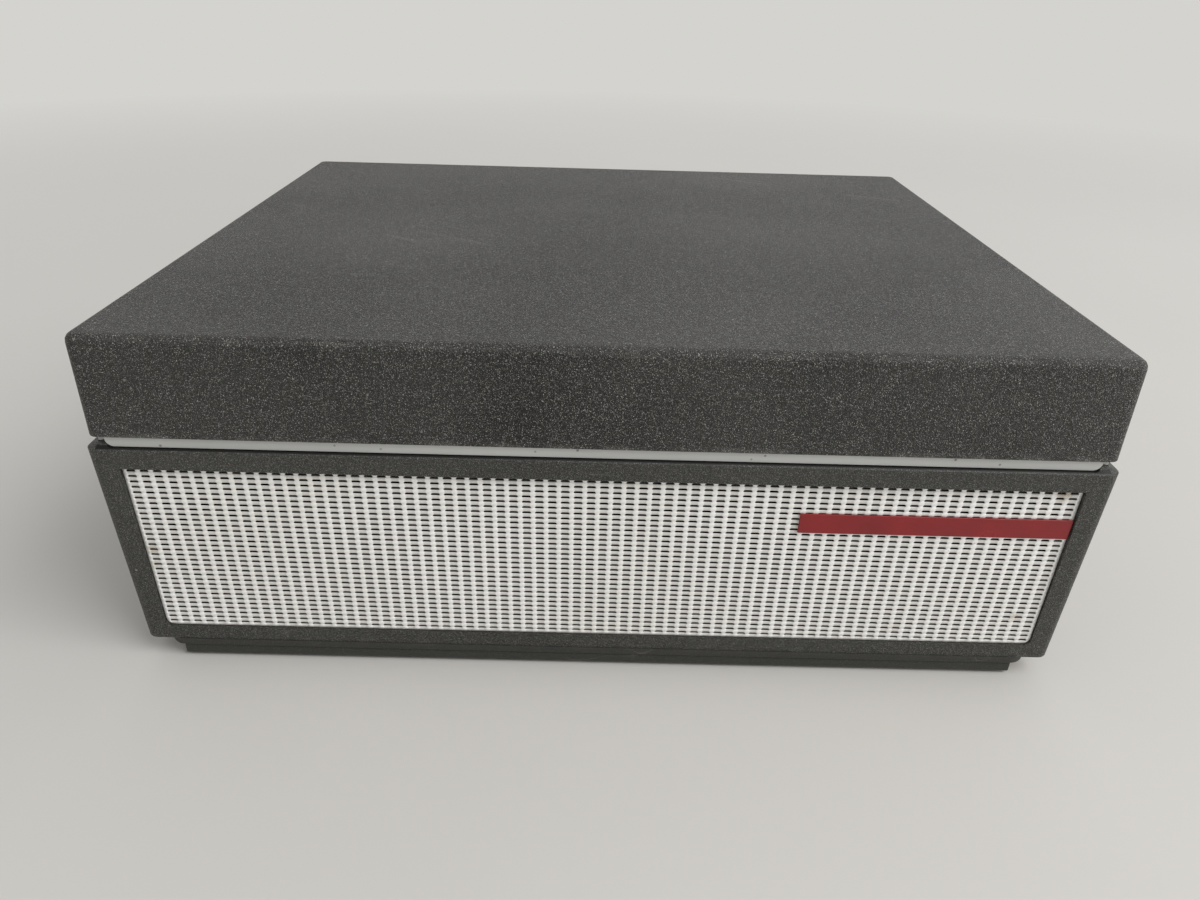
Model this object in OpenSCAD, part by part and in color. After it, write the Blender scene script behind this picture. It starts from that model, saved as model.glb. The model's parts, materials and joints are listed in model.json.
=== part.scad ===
// Portable reel-to-reel tape recorder with a hinged lid, a perforated front grille and a pull-out handle.
// The front faces -Y, +Z is up, and the origin is on the floor under the middle of the whole machine.

/* [Case] */
// Width of the body at its shoulder
body_w = 380; // [376:1:396]
// Depth of the body at its shoulder
body_d = 306; // [302:1:322]
// Height of the body's walls
body_h = 92.6; // [92:0.1:104]
// Thickness of the body's walls
wall = 4; // [3.6:0.1:4.6]
// Radius of the body's upright corners
corner_r = 5; // [3:0.5:8]
// How far the front and the sides lean in towards the bottom
body_taper = 1; // [0.2:0.1:1.6]
// Height of the slanted shoulder under the lid
shoulder_h = 2.8; // [2.4:0.1:3.4]
// How far the shoulder slants in at the sides
shoulder_x = 6.5; // [5:0.5:7]
// How far the shoulder slants in at the front and the back
shoulder_y = 3; // [2:0.5:3.5]
// Thickness of the body's floor
floor_t = 3; // [2:0.5:5]
// Width of the floor flange that carries the pillars
flange_w = 16; // [15:0.5:20]
// Width of the floor flange along the front, where nothing stands on it
flange_front = 5.5; // [4:0.5:6]

/* [Lid] */
// Outside height of the lid
lid_h = 38.9; // [37:0.1:48]
// How far the lid's rim stands in from the body's sides
lid_inset = 1.85; // [1:0.05:2.4]
// How far the lid's rim stands in from the body's front and back
lid_inset_y = 0.85; // [0.6:0.05:1.2]
// How far the lid's front and sides lean in towards the top
lid_draft = 0.75; // [0.5:0.05:2]
// Thickness of the lid's walls
lid_wall = 2.8; // [2.2:0.1:3]
// Radius of the lid's upper edge
lid_edge_r = 3.5; // [2:0.5:4.5]
// Gap between the lid's rim and the body
lid_gap = 2.5; // [2.3:0.1:3.2]

/* [Hinges] */
// How far the hinges and the rear studs stand out behind the body
rear_out = 8.2; // [7.6:0.1:10]
// Distance of each hinge from the middle
hinge_x = 118; // [90:1:140]
// Width of one hinge
hinge_w = 40; // [30:1:50]
// Radius of the hinge knuckles
knuckle_r = 4; // [3.4:0.1:4.2]
// Radius of the hinge pins
hinge_pin_r = 2; // [1.5:0.1:2.4]
// Thickness of the hinge plates
hinge_t = 1.5; // [1:0.1:2]
// Height of the hinge plates
hinge_plate_h = 16; // [10:1:20]

/* [Front] */
// Width of the body's frame at each side of the grille
frame_side = 11.25; // [9:0.25:13]
// Height of the body's frame over the grille
frame_top = 7.6; // [7:0.1:10]
// Height of the body's frame under the grille
frame_bottom = 6.6; // [6:0.1:9]
// Radius of the grille's lower corners
grille_r = 3; // [1:0.5:5]
// How deep the grille's seat is cut into the front
grille_seat = 2.8; // [2.4:0.1:3]
// Width of the lip that the grille rests on
grille_lip = 4; // [3:0.5:5]
// Thickness of the grille sheet
grille_t = 0.8; // [0.6:0.1:1]
// Columns of slots in the grille
slot_columns = 24; // [12:1:24]
// Rows of slots in the grille
slot_rows = 12; // [6:1:12]
// Width of the bars between the slots
slot_bar_x = 4.5; // [3:0.5:6]
// Height of the bars between the slots
slot_bar_z = 3; // [2:0.5:3.5]
// Length of the badge
badge_w = 103.8; // [80:0.1:120]
// Height of the badge
badge_h = 8.6; // [6:0.1:12]
// Thickness of the badge
badge_t = 0.8; // [0.6:0.1:0.9]
// Distance of the badge from the grille's right edge
badge_right = 0.5; // [0.5:0.1:10]
// Distance of the badge from the grille's upper edge
badge_top = 13.1; // [8:0.1:30]

/* [Bottom] */
// Height of the feet
foot_h = 7; // [6.8:0.1:9]
// Radius of the feet
foot_r = 6.5; // [5:0.1:8]
// Distance of the feet from the sides
foot_side = 15; // [14:0.5:20]
// Radius of the rear studs
stud_r = 8; // [6:0.5:9]
// Thickness of the bottom cover
cover_t = 3; // [2:0.1:4]
// How far the bottom cover stands in from the body
cover_inset = 9.5; // [8:0.5:11]
// How far the bottom cover stands in from the front and the back
cover_inset_y = 0.5; // [0.3:0.1:3]
// Travel of the handle
handle_travel = 42; // [30:1:50]
// Distance of the handle bar from the sides
handle_side = 16; // [14:1:22]
// Depth of the handle bar
handle_d = 3.6; // [3.2:0.1:8]
// How far the handle bar stands back from the front
handle_back = 1.5; // [1:0.5:4]
// Height of the handle bar
handle_h = 5.5; // [5:0.1:5.8]
// Clearance of the handle above the floor
handle_floor = 1; // [0.6:0.1:1.2]
// Distance of the handle arms from the middle
arm_x = 132; // [110:1:138]
// Width of the handle arms
arm_w = 12; // [8:0.5:14]
// Thickness of the handle arms
arm_t = 3.2; // [2.4:0.1:3.4]

/* [Deck] */
// Thickness of the deck plate
deck_t = 2.5; // [2:0.1:3]
// How far the deck's top stands above the body's rim
deck_rise = 1.9; // [1.2:0.1:2.1]
// How far the deck's front edge stands back from the body's front
apron_in = 2; // [1.6:0.1:2.4]
// Thickness of the deck's front apron
apron_t = 2.4; // [2:0.1:2.6]
// Space between the chassis plate and the deck
deck_space = 15.6; // [15:0.1:18]
// Thickness of the chassis plate
chassis_t = 1.5; // [1.2:0.1:2]
// Thickness of the control panel
panel_t = 0.8; // [0.6:0.1:1.2]
// Depth of the control panel
panel_d = 43; // [40:0.5:44]

/* [Reels] */
// Gap between the two reels
reel_gap = 14; // [8:0.5:16]
// Distance of the reels from the back wall
reel_back = 29; // [24:0.5:34]
// Distance of the reels from the side walls
reel_side = 29; // [27:0.5:34]
// Height of the reels above the deck
reel_lift = 5; // [4:0.1:6]
// Thickness of a reel flange
flange_t = 1.5; // [1.2:0.1:2]
// Space between the flanges
flange_gap = 8.2; // [7.6:0.1:9]
// Radius of a reel's hub
hub_r = 25; // [22:0.5:28]
// Width of the tape
tape_w = 6.3; // [6:0.05:6.6]
// Thickness of the drawn tape
tape_t = 0.3; // [0.2:0.05:0.4]
// How far the full tape pack stands in from the reel's edge
pack_in = 13; // [11:0.5:30]
// Outer radius of the tape on the take-up reel
takeup_pack_r = 32; // [30:0.5:64]
// Radius of the reel spindles
spindle_r = 4; // [3.5:0.1:4.2]
// Radius of the turntables under the deck
turntable_r = 35; // [30:0.5:38]
// Thickness of the turntables
turntable_t = 5.5; // [4:0.5:6]
// Radius of the turntable bosses that carry the reels
boss_r = 12; // [10:0.5:14]

/* [Tape path] */
// Distance of the straight tape run from the body's front
path_depth = 83; // [82.5:0.5:85]
// Distance of the straight tape run from the reels
path_reel = 40; // [38:0.5:42]
// Distance of the capstan from the middle
capstan_x = 38; // [36:0.5:40]
// Radius of the capstan
capstan_r = 3; // [2.5:0.1:3.2]
// Radius of the pinch roller
roller_r = 9; // [7:0.5:9.5]
// Height of the pinch roller
roller_h = 9; // [8:0.5:9.4]
// How far the pinch roller stands off at rest
roller_throw = 5; // [4:0.1:5.4]
// Length of the pinch arm
pinch_len = 28; // [25:0.5:29]
// Radius of the tape guides
guide_r = 4; // [3:0.5:5]
// Place of the left tape guide
guide_left_x = -58; // [-64:0.5:-56]
// Place of the right tape guide
guide_right_x = 66; // [62:0.5:70]
// Height of the heads
head_h = 12; // [11:0.5:12.4]
// Width of the erase head
erase_w = 12; // [10:0.5:14]
// Width of the record and play head
record_w = 16; // [14:0.5:18]
// Depth of the heads
head_d = 13; // [11:0.5:14]
// Height of the head cover
cover_h = 19.4; // [19.2:0.1:22]
// Wall of the head cover
cover_wall = 1.6; // [1.2:0.1:1.8]

/* [Drive] */
// Radius of the flywheel
flywheel_r = 42; // [36:0.5:42]
// Thickness of the flywheel
flywheel_t = 12; // [9:0.5:13]
// Radius of the flywheel's small pulley
hub_pulley_r = 10; // [8:0.5:12]
// Radius of the motor pulley
motor_pulley_r = 8.8; // [7:0.1:10]
// Distance of the motor behind the reel axes
motor_back = 50; // [48:0.5:54]
// Side of the motor
motor_w = 62; // [56:0.5:64]
// Height of the motor
motor_h = 44; // [38:0.5:45]
// Radius of the take-up clutch pulley
clutch_r = 28; // [24:0.5:30]
// Width of the belts
belt_w = 3.6; // [3:0.1:4]
// Thickness of the belts
belt_t = 0.9; // [0.7:0.1:1.2]

/* [Controls] */
// Number of keys
key_count = 5; // [5:5:5]
// Distance from key to key
key_pitch = 20.5; // [18:0.1:20.6]
// Gap between keys
key_gap = 0.7; // [0.6:0.05:1]
// Distance of the keys from the deck's right edge
key_right = 7.1; // [6:0.1:8]
// Distance of the keys from the deck's front edge
key_front = 10; // [9.6:0.1:11]
// Length of a key cap
key_len = 37; // [34:0.5:37.5]
// Height of the keys above the deck
key_rise = 6.4; // [5:0.1:8]
// Distance of the key axle behind the caps
key_reach = 13; // [12:0.5:14]
// Depth of the key axle below the deck's top
key_drop = 10.6; // [10.4:0.1:11]
// Radius of the key axle
axle_r = 2; // [1.6:0.1:2.2]
// Radius of the knobs
knob_r = 13; // [10:0.5:15]
// Height of the knobs
knob_h = 15; // [11:0.5:18]
// Place of the volume knob
volume_x = -64; // [-70:0.5:-60]
// Place of the tone knob
tone_x = 6; // [0:0.5:12]
// Distance of the knobs from the deck's front edge
knob_front = 28; // [26:0.5:29]
// Radius of the control shafts
shaft_r = 3; // [2.5:0.1:3.2]
// Place of the level meter
meter_x = -138; // [-142:0.5:-132]
// Width of the level meter
meter_w = 44; // [40:0.5:48]
// Depth of the level meter
meter_d = 28; // [26:0.5:30]
// Radius of the counter dial
dial_r = 16; // [14:0.5:18]

/* [Insides] */
// Place of the loudspeaker
speaker_x = -75; // [-90:1:-60]
// Width of the loudspeaker
speaker_w = 130; // [110:1:140]
// Height of the loudspeaker
speaker_h = 74; // [66:1:74]
// Depth of the loudspeaker's basket
speaker_d = 28; // [24:1:29]
// Thickness of the baffle board
baffle_t = 3; // [2:0.5:4]
// Width of the circuit board
board_w = 106; // [90:1:108]
// Distance of the circuit board from the transformer
board_mains = 16.95; // [13:0.05:46]
// Height of the circuit board above the bottom cover
board_lift = 12; // [8:1:16]
// Width of the transformer
mains_w = 65; // [55:1:66]
// Depth of the transformer
mains_d = 56; // [48:1:58]
// Height of the transformer
mains_h = 50; // [40:1:54]

/* [Hidden] */
$fn = 64;

// Clearances: a shaft in its hole, a plate in its seat, and a moving piece beside a fixed one
run_fit = 0.05;
seat_fit = 0.4;
move_gap = 0.3;
// A cut reaches this far past the face that it opens
past = 1;
// Thickness of the thin slices that shells are blended from, and the segments of their round corners
slice = 0.01;
soft_fn = 32;

// Heights, from the floor up
z_cover = foot_h;
z_body = z_cover + cover_t;
z_floor = z_body + floor_t;
z_rim = z_body + body_h;
z_shoulder = z_rim - shoulder_h;
z_lid = z_rim + lid_gap;
z_top = z_lid + lid_h;
z_deck = z_rim + deck_rise;
z_under = z_deck - deck_t;
z_chassis_top = z_under - deck_space;
z_chassis = z_chassis_top - chassis_t;
z_reel = z_deck + reel_lift;
reel_h = 2 * flange_t + flange_gap;
z_tape = z_reel + reel_h / 2;

// Faces of the case, measured from the body's middle
x_in = body_w / 2 - wall;
y_front = -body_d / 2;
y_back = body_d / 2;
y_in = y_back - wall;
deck_half = x_in - seat_fit;
y_deck = y_front + apron_in;
shift_y = -rear_out / 2;

// Reel and tape places: the reels fill the depth behind the tape run, or the width between the side walls
path_y = y_front + path_depth;
reel_r = min(y_in - reel_back - path_reel - path_y, x_in - reel_side - reel_gap / 2) / 2;
supply_pack_r = reel_r - pack_in;
reel_x = reel_r + reel_gap / 2;
reel_y = y_in - reel_back - reel_r;
supply_at = [-reel_x, reel_y];
takeup_at = [reel_x, reel_y];
face_y = path_y + tape_t / 2 + move_gap;
capstan_at = [capstan_x, face_y + capstan_r];
roller_rest_y = path_y - tape_t / 2 - move_gap - roller_throw - roller_r;
pinch_at = [capstan_x + pinch_len, roller_rest_y];
motor_at = [0, reel_y + motor_back];

// Front window
window_w = body_w - 2 * frame_side;
window_bottom = z_body + frame_bottom;
window_top = z_shoulder - frame_top;
window_h = window_top - window_bottom;
window_z = (window_bottom + window_top) / 2;
grille_y = y_front + grille_seat - move_gap - grille_t;

// A rectangle with round corners, centred
module round_rect(w, d, r) {
    square([w - 2 * r, d], center = true);
    square([w, d - 2 * r], center = true);
    for (sx = [-1, 1], sy = [-1, 1])
        translate([sx * (w / 2 - r), sy * (d / 2 - r)]) circle(r);
}

// A rectangle whose lower corners alone are round, standing on its lower edge
module tray_rect(w, h, r) {
    intersection() {
        translate([-w / 2, 0]) square([w, h]);
        union() {
            translate([-w / 2, r]) square([w, h]);
            translate([-w / 2 + r, 0]) square([w - 2 * r, h]);
            for (sx = [-1, 1])
                translate([sx * (w / 2 - r), r]) circle(r);
        }
    }
}

// Draws an outline in the XZ plane, from y towards the back by t
module upright(y, t) {
    translate([0, y + t, 0]) rotate([90, 0, 0]) linear_extrude(t) children();
}

// Draws an outline in the YZ plane, from x to the right by t
module along_x(x, t) {
    translate([x, 0, 0]) rotate([90, 0, 90]) linear_extrude(t) children();
}

// A box given by its corners
module corners(low, high) {
    translate(low) cube(high - low);
}

// A round post from one height to another
module post(at, r, z0, z1) {
    translate([at[0], at[1], z0]) cylinder(r = r, h = z1 - z0);
}

// A round tube from one height to another
module tube(at, r, bore, z0, z1) {
    difference() {
        post(at, r, z0, z1);
        post(at, bore, z0 - past, z1 + past);
    }
}

// One level of a shell whose front and sides have come in and whose back is upright
module level(w, d, in, r, z) {
    translate([0, in / 2, z]) linear_extrude(slice) round_rect(w - 2 * in, d - in, r, $fn = soft_fn);
}

// Hinge places and axis
hinge_y = y_back + rear_out - knuckle_r;
hinge_z = z_lid;
knuckle_gap = 0.5;
middle_w = 14;

// Lid levels: the rim, the upper edge's round and the top
lid_w = body_w - 2 * lid_inset;
lid_d = body_d - 2 * lid_inset_y;
lid_round_steps = 4;
lid_corner_r = 4.6;
lid_top_r = 5;
lid_inside_r = 2;

module lid_outside() {
    hull() {
        level(lid_w, lid_d, 0, lid_corner_r, z_lid);
        for (i = [0 : lid_round_steps]) {
            a = 90 * i / lid_round_steps;
            in = lid_edge_r * (1 - cos(a));
            translate([0, 0, z_top - slice - lid_edge_r * (1 - sin(a))])
                linear_extrude(slice)
                    translate([0, lid_draft / 2])
                        round_rect(lid_w - 2 * lid_draft - 2 * in, lid_d - lid_draft - 2 * in,
                            lid_top_r - in, $fn = soft_fn);
        }
    }
}

module lid_inside() {
    in_w = lid_w - 2 * lid_wall;
    in_d = lid_d - 2 * lid_wall;
    hull() {
        level(in_w, in_d, 0, lid_inside_r, z_lid - past);
        level(in_w, in_d, lid_draft, lid_inside_r, z_top - lid_wall);
    }
}

module lid() {
    color("#4b4a47")
        difference() {
            lid_outside();
            lid_inside();
        }
}

// The leaf's web reaches from the lid's back wall to its knuckle
module lid_hinge_leaves() {
    web_h = knuckle_r;
    y_lid = lid_d / 2;
    color("#8d8d8a")
        for (sx = [-1, 1])
            translate([sx * hinge_x, 0, 0])
                difference() {
                    union() {
                        corners([-hinge_w / 2, y_lid, z_lid + knuckle_r], [hinge_w / 2, y_lid + hinge_t,
                            z_lid + knuckle_r + hinge_plate_h]);
                        corners([-middle_w / 2, y_lid, hinge_z], [middle_w / 2, hinge_y, hinge_z + web_h]);
                        corners([-middle_w / 2, y_lid, hinge_z], [middle_w / 2, y_lid + hinge_t,
                            z_lid + knuckle_r + hinge_plate_h]);
                        translate([-middle_w / 2, hinge_y, hinge_z]) rotate([0, 90, 0])
                            cylinder(r = knuckle_r, h = middle_w);
                    }
                    translate([-middle_w, hinge_y, hinge_z]) rotate([0, 90, 0])
                        cylinder(r = hinge_pin_r + run_fit, h = 2 * middle_w);
                }
}

module hinge_brackets() {
    end_w = (hinge_w - middle_w) / 2 - knuckle_gap;
    below_shoulder = 1;
    plate_top = z_shoulder - below_shoulder;
    color("#8d8d8a")
        for (sx = [-1, 1])
            translate([sx * hinge_x, 0, 0]) {
                difference() {
                    union() {
                        corners([-hinge_w / 2, y_back, plate_top - hinge_plate_h],
                            [hinge_w / 2, y_back + hinge_t,
                            plate_top]);
                        for (side = [-1, 1])
                            translate([side * (hinge_w - end_w) / 2 - end_w / 2, 0, 0]) {
                                corners([0, y_back, plate_top - knuckle_r], [end_w, hinge_y, plate_top]);
                                corners([0, hinge_y - hinge_t, plate_top - knuckle_r],
                                    [end_w, hinge_y + hinge_t,
                                    hinge_z]);
                                translate([0, hinge_y, hinge_z]) rotate([0, 90, 0])
                                    cylinder(r = knuckle_r, h = end_w);
                            }
                    }
                    translate([-hinge_w, hinge_y, hinge_z]) rotate([0, 90, 0])
                        cylinder(r = hinge_pin_r + run_fit, h = 2 * hinge_w);
                }
                translate([-hinge_w / 2, hinge_y, hinge_z]) rotate([0, 90, 0])
                    cylinder(r = hinge_pin_r, h = hinge_w);
            }
}

// Places of the uprights that stand on the floor flange
pillar_r = 5;
pillar_side = 8;
pillar_front = 105;
pillar_back = 19;
pillar_x = x_in - pillar_side;
pillar_front_y = reel_y - pillar_front;
pillar_back_y = y_in - pillar_back;

// The panel of sockets in the back wall
panel_x = 100;
panel_w = 118;
panel_h = 40;
panel_lift = 36;
panel_z = z_body + panel_lift;
panel_edge = 4;

// Screws that hold the bottom cover, on the floor flange
screw_r = 1.5;
screw_head_r = 3.5;
screw_head_h = 1.6;
screw_fit = 0.2;
cover_screw_side = 11;
cover_screw_pitch = 95;
cover_screw_x = x_in - cover_screw_side;
cover_screw_y = [for (i = [-1 : 1]) i * cover_screw_pitch];

// The notch in the front wall's top, between two corner posts
notch_half = 182.4;
notch_lift = 0.7;
notch_z = z_shoulder + notch_lift;
notch_r = 3;

module body_shell() {
    open_half = x_in - flange_w;
    open_d = 2 * y_in - flange_w - flange_front;
    rim_r = 2;
    color("#474743")
        difference() {
            hull() {
                level(body_w, body_d, body_taper, corner_r, z_body);
                level(body_w, body_d, 0, corner_r, z_shoulder);
                translate([0, 0, z_rim - slice]) linear_extrude(slice)
                    round_rect(body_w - 2 * shoulder_x, body_d - 2 * shoulder_y, rim_r, $fn = soft_fn);
            }
            translate([0, 0, z_floor]) linear_extrude(body_h)
                square([2 * x_in, 2 * y_in], center = true);
            translate([0, 0, z_body - past]) linear_extrude(floor_t + 2 * past)
                translate([-open_half, -y_in + flange_front]) square([2 * open_half, open_d]);
            upright(y_front - past, wall + 2 * past)
                translate([0, notch_z]) tray_rect(2 * notch_half, 2 * shoulder_h, notch_r);
            upright(y_front - past, grille_seat + past)
                translate([0, window_bottom]) tray_rect(window_w, window_h, grille_r);
            upright(y_front - past, wall + 2 * past)
                translate([0, window_z])
                    square([window_w - 2 * grille_lip, window_h - 2 * grille_lip], center = true);
            upright(y_in - past, wall + 2 * past)
                translate([panel_x, panel_z])
                    square([panel_w - 2 * panel_edge, panel_h - 2 * panel_edge], center = true);
            for (sx = [-1, 1], y = cover_screw_y)
                post([sx * cover_screw_x, y], screw_r + run_fit, z_body - past, z_floor + past);
        }
}

// Handle: a bar under the front edge on two flat arms that run in guides under the bottom cover
arm_z = handle_floor + (handle_h - arm_t) / 2;
handle_y = y_front + handle_back;
arm_y = handle_y + handle_d;

// Feet under the cover, close behind the ends of the handle bar and likewise at the back
foot_gap = 0.6;
foot_x = body_w / 2 - foot_side;
foot_y = -arm_y - foot_gap - foot_r;

// Studs on the back
stud_side = 25;
stud_lift = 15;
stud_pitch = 55;
stud_x = body_w / 2 - stud_side;
stud_lower = z_body + stud_lift;
stud_upper = stud_lower + stud_pitch;

module stud(r, h) {
    toe = 1.5;
    rotate_extrude()
        polygon([[0, 0], [r - toe, 0], [r, toe], [r - toe / 2, h], [0, h]]);
}

// Four feet, and four like studs that the machine stands on when it is set down on its back
module feet() {
    color("#d9d3c4") {
        for (sx = [-1, 1], sy = [-1, 1])
            translate([sx * foot_x, sy * foot_y, 0]) stud(foot_r, foot_h);
        for (sx = [-1, 1], z = [stud_lower, stud_upper])
            translate([sx * stud_x, y_back + rear_out, z]) rotate([90, 0, 0]) stud(stud_r, rear_out);
    }
}

// Guides of the handle's arms
guide_len = 14;
guide_back = 16;
guide_front_y = arm_y + guide_back;
guide_pitch = 25;
stop_t = 4;
stop_y = guide_front_y + guide_pitch + guide_len + handle_travel;
guide_wall = 3;

module handle_grip() {
    grip_half = body_w / 2 - handle_side;
    edge = 1.2;
    color("#2c2d2a")
        along_x(-grip_half, 2 * grip_half)
            translate([handle_y + handle_d / 2, handle_floor + handle_h / 2])
                round_rect(handle_d, handle_h, edge);
}

module handle_arms() {
    stop_wide = 3;
    color("#77797a")
        for (sx = [-1, 1])
            translate([sx * arm_x, 0, 0]) {
                corners([-arm_w / 2, arm_y, arm_z], [arm_w / 2, stop_y, arm_z + arm_t]);
                corners([-arm_w / 2 - stop_wide, stop_y, arm_z], [arm_w / 2 + stop_wide, stop_y + stop_t,
                    arm_z + arm_t]);
            }
}

module bottom_cover() {
    vent_count = 8;
    vent_w = 70;
    vent_d = 4;
    vent_pitch = 10;
    skid = 0.8;
    cover_r = 8;
    color("#33342f")
        difference() {
            union() {
                translate([0, 0, z_cover]) linear_extrude(cover_t)
                    round_rect(body_w - 2 * cover_inset, body_d - 2 * cover_inset_y, cover_r);
                for (sx = [-1, 1], i = [0, 1])
                    translate([sx * arm_x, guide_front_y + i * guide_pitch, 0])
                        corners([-arm_w / 2 - guide_wall, 0, arm_z - move_gap - skid],
                            [arm_w / 2 + guide_wall, guide_len, z_cover]);
            }
            for (sx = [-1, 1], i = [0, 1])
                translate([sx * arm_x, guide_front_y + i * guide_pitch - past, 0])
                    corners([-arm_w / 2 - move_gap, 0, arm_z - move_gap],
                        [arm_w / 2 + move_gap, guide_len + 2 * past, arm_z + arm_t + move_gap]);
            for (i = [0 : vent_count - 1])
                translate([0, motor_at[1] + (i - (vent_count - 1) / 2) * vent_pitch, z_cover - past])
                    linear_extrude(cover_t + 2 * past) square([vent_w, vent_d], center = true);
            for (sx = [-1, 1], y = cover_screw_y)
                post([sx * cover_screw_x, y], screw_r + screw_fit, z_cover - past, z_body + past);
        }
}

// The sheet's slots are drawn wider apart than the real fine ones
module front_grille() {
    sheet_w = window_w - 2 * move_gap;
    sheet_h = window_h - 2 * move_gap;
    margin = 2;
    pitch_x = (sheet_w - 2 * margin) / slot_columns;
    pitch_z = (sheet_h - 2 * margin) / slot_rows;
    color("#dedcd6")
        upright(grille_y, grille_t)
            difference() {
                translate([0, window_bottom + move_gap]) tray_rect(sheet_w, sheet_h, grille_r);
                for (i = [0 : slot_columns - 1], j = [0 : slot_rows - 1])
                    translate([-sheet_w / 2 + margin + (i + 0.5) * pitch_x,
                            window_bottom + move_gap + margin + (j + 0.5) * pitch_z])
                        square([pitch_x - slot_bar_x, pitch_z - slot_bar_z], center = true);
            }
}

module badge() {
    right = window_w / 2 - badge_right;
    top = window_top - badge_top;
    color("#8d2a30")
        corners([right - badge_w, grille_y - badge_t, top - badge_h], [right, grille_y, top]);
}

// Sockets: three round ones and the mains inlet, side by side in the panel
din_r = 9;
din_bore_r = 6.6;
din_deep = 6;
din_body = 14;
inlet_w = 26;
inlet_h = 18;
inlet_wall = 3;
inlet_deep = 14;
socket_pitch = 24;
socket_proud = 1;
first_din = -8;
inlet_left = 36;
inlet_x = panel_x - inlet_left;
panel_plate = 2;
panel_r = 3;
panel_y = y_in - panel_plate;

function din_x(i) = panel_x + first_din + i * socket_pitch;

module socket_panel() {
    color("#3a3a38")
        difference() {
            upright(panel_y, panel_plate)
                translate([panel_x, panel_z]) round_rect(panel_w, panel_h, panel_r);
            for (i = [0 : 2])
                translate([din_x(i), panel_y - past, panel_z]) rotate([-90, 0, 0])
                    cylinder(r = din_r + run_fit, h = panel_plate + 2 * past);
            upright(panel_y - past, panel_plate + 2 * past)
                translate([inlet_x, panel_z])
                    square([inlet_w + 2 * run_fit, inlet_h + 2 * run_fit], center = true);
        }
}

module sockets() {
    face = y_in + socket_proud;
    color("#1f1f1f") {
        for (i = [0 : 2])
            translate([din_x(i), face, panel_z]) rotate([90, 0, 0])
                difference() {
                    cylinder(r = din_r, h = din_body);
                    translate([0, 0, -past]) cylinder(r = din_bore_r, h = din_deep + past);
                }
        difference() {
            upright(face - inlet_deep - inlet_wall, inlet_deep + inlet_wall)
                translate([inlet_x, panel_z]) square([inlet_w, inlet_h], center = true);
            upright(face - inlet_deep, inlet_deep + past)
                translate([inlet_x, panel_z])
                    square([inlet_w - 2 * inlet_wall, inlet_h - 2 * inlet_wall], center = true);
        }
    }
}

// Loudspeaker on its board behind the grille
baffle_y = y_front + wall;
baffle_back = baffle_y + baffle_t;
speaker_rim = 6;
rim_t = 2;
magnet_r = 26;
magnet_d = 13;
cone_t = 1.2;
bowl_past = 0.1;

module oval(w, h) {
    square([w - h, h], center = true);
    for (sx = [-1, 1])
        translate([sx * (w - h) / 2, 0]) circle(h / 2);
}

module speaker_baffle() {
    board_edge = 8;
    board_over = 1;
    color("#6b4f36")
        upright(baffle_y, baffle_t)
            difference() {
                translate([0, window_z])
                    square([2 * x_in - 2 * board_edge, window_h + 2 * board_over], center = true);
                translate([speaker_x, window_z])
                    oval(speaker_w - 2 * speaker_rim, speaker_h - 2 * speaker_rim);
            }
}

// A tapering bowl between two upright outlines, the front one oval and the back one round
module bowl(w, h, r, y0, y1) {
    hull() {
        upright(y0, slice) translate([speaker_x, window_z]) oval(w, h, $fn = soft_fn);
        upright(y1, slice) translate([speaker_x, window_z]) circle(r, $fn = soft_fn);
    }
}

module speaker_frame() {
    basket_t = 1.4;
    in_w = speaker_w - 2 * speaker_rim;
    in_h = speaker_h - 2 * speaker_rim;
    basket_back = baffle_back + speaker_d;
    color("#55585a") {
        difference() {
            union() {
                upright(baffle_back, rim_t)
                    translate([speaker_x, window_z]) oval(speaker_w, speaker_h);
                bowl(in_w + 2 * basket_t, in_h + 2 * basket_t, magnet_r, baffle_back, basket_back);
            }
            bowl(in_w, in_h, magnet_r - basket_t, baffle_back - bowl_past, basket_back - basket_t);
        }
        translate([speaker_x, basket_back, window_z]) rotate([-90, 0, 0])
            cylinder(r = magnet_r, h = magnet_d);
    }
}

module speaker_cone() {
    in_w = speaker_w - 2 * speaker_rim - 2 * move_gap;
    in_h = speaker_h - 2 * speaker_rim - 2 * move_gap;
    coil_r = 12;
    coil_gap = 4;
    y0 = baffle_back;
    y1 = baffle_back + speaker_d - coil_gap;
    color("#2b2a28")
        difference() {
            bowl(in_w, in_h, coil_r, y0, y1);
            bowl(in_w - 2 * cone_t, in_h - 2 * cone_t, coil_r - cone_t, y0 - bowl_past, y1 - cone_t);
        }
}

// Chassis plate, with holes for the bearings that pass through it
chassis_lead = 15.5;
chassis_rear = 6;
chassis_front = pinch_at[1] - chassis_lead;
chassis_back = y_in - chassis_rear;
bearing_r = 8;

module chassis_plate() {
    edge = 3;
    color("#9a9c9c")
        difference() {
            corners([-x_in + edge, chassis_front, z_chassis], [x_in - edge, chassis_back, z_chassis_top]);
            for (at = [supply_at, takeup_at, capstan_at])
                post(at, bearing_r + run_fit, z_chassis - past, z_chassis_top + past);
        }
}

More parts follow.
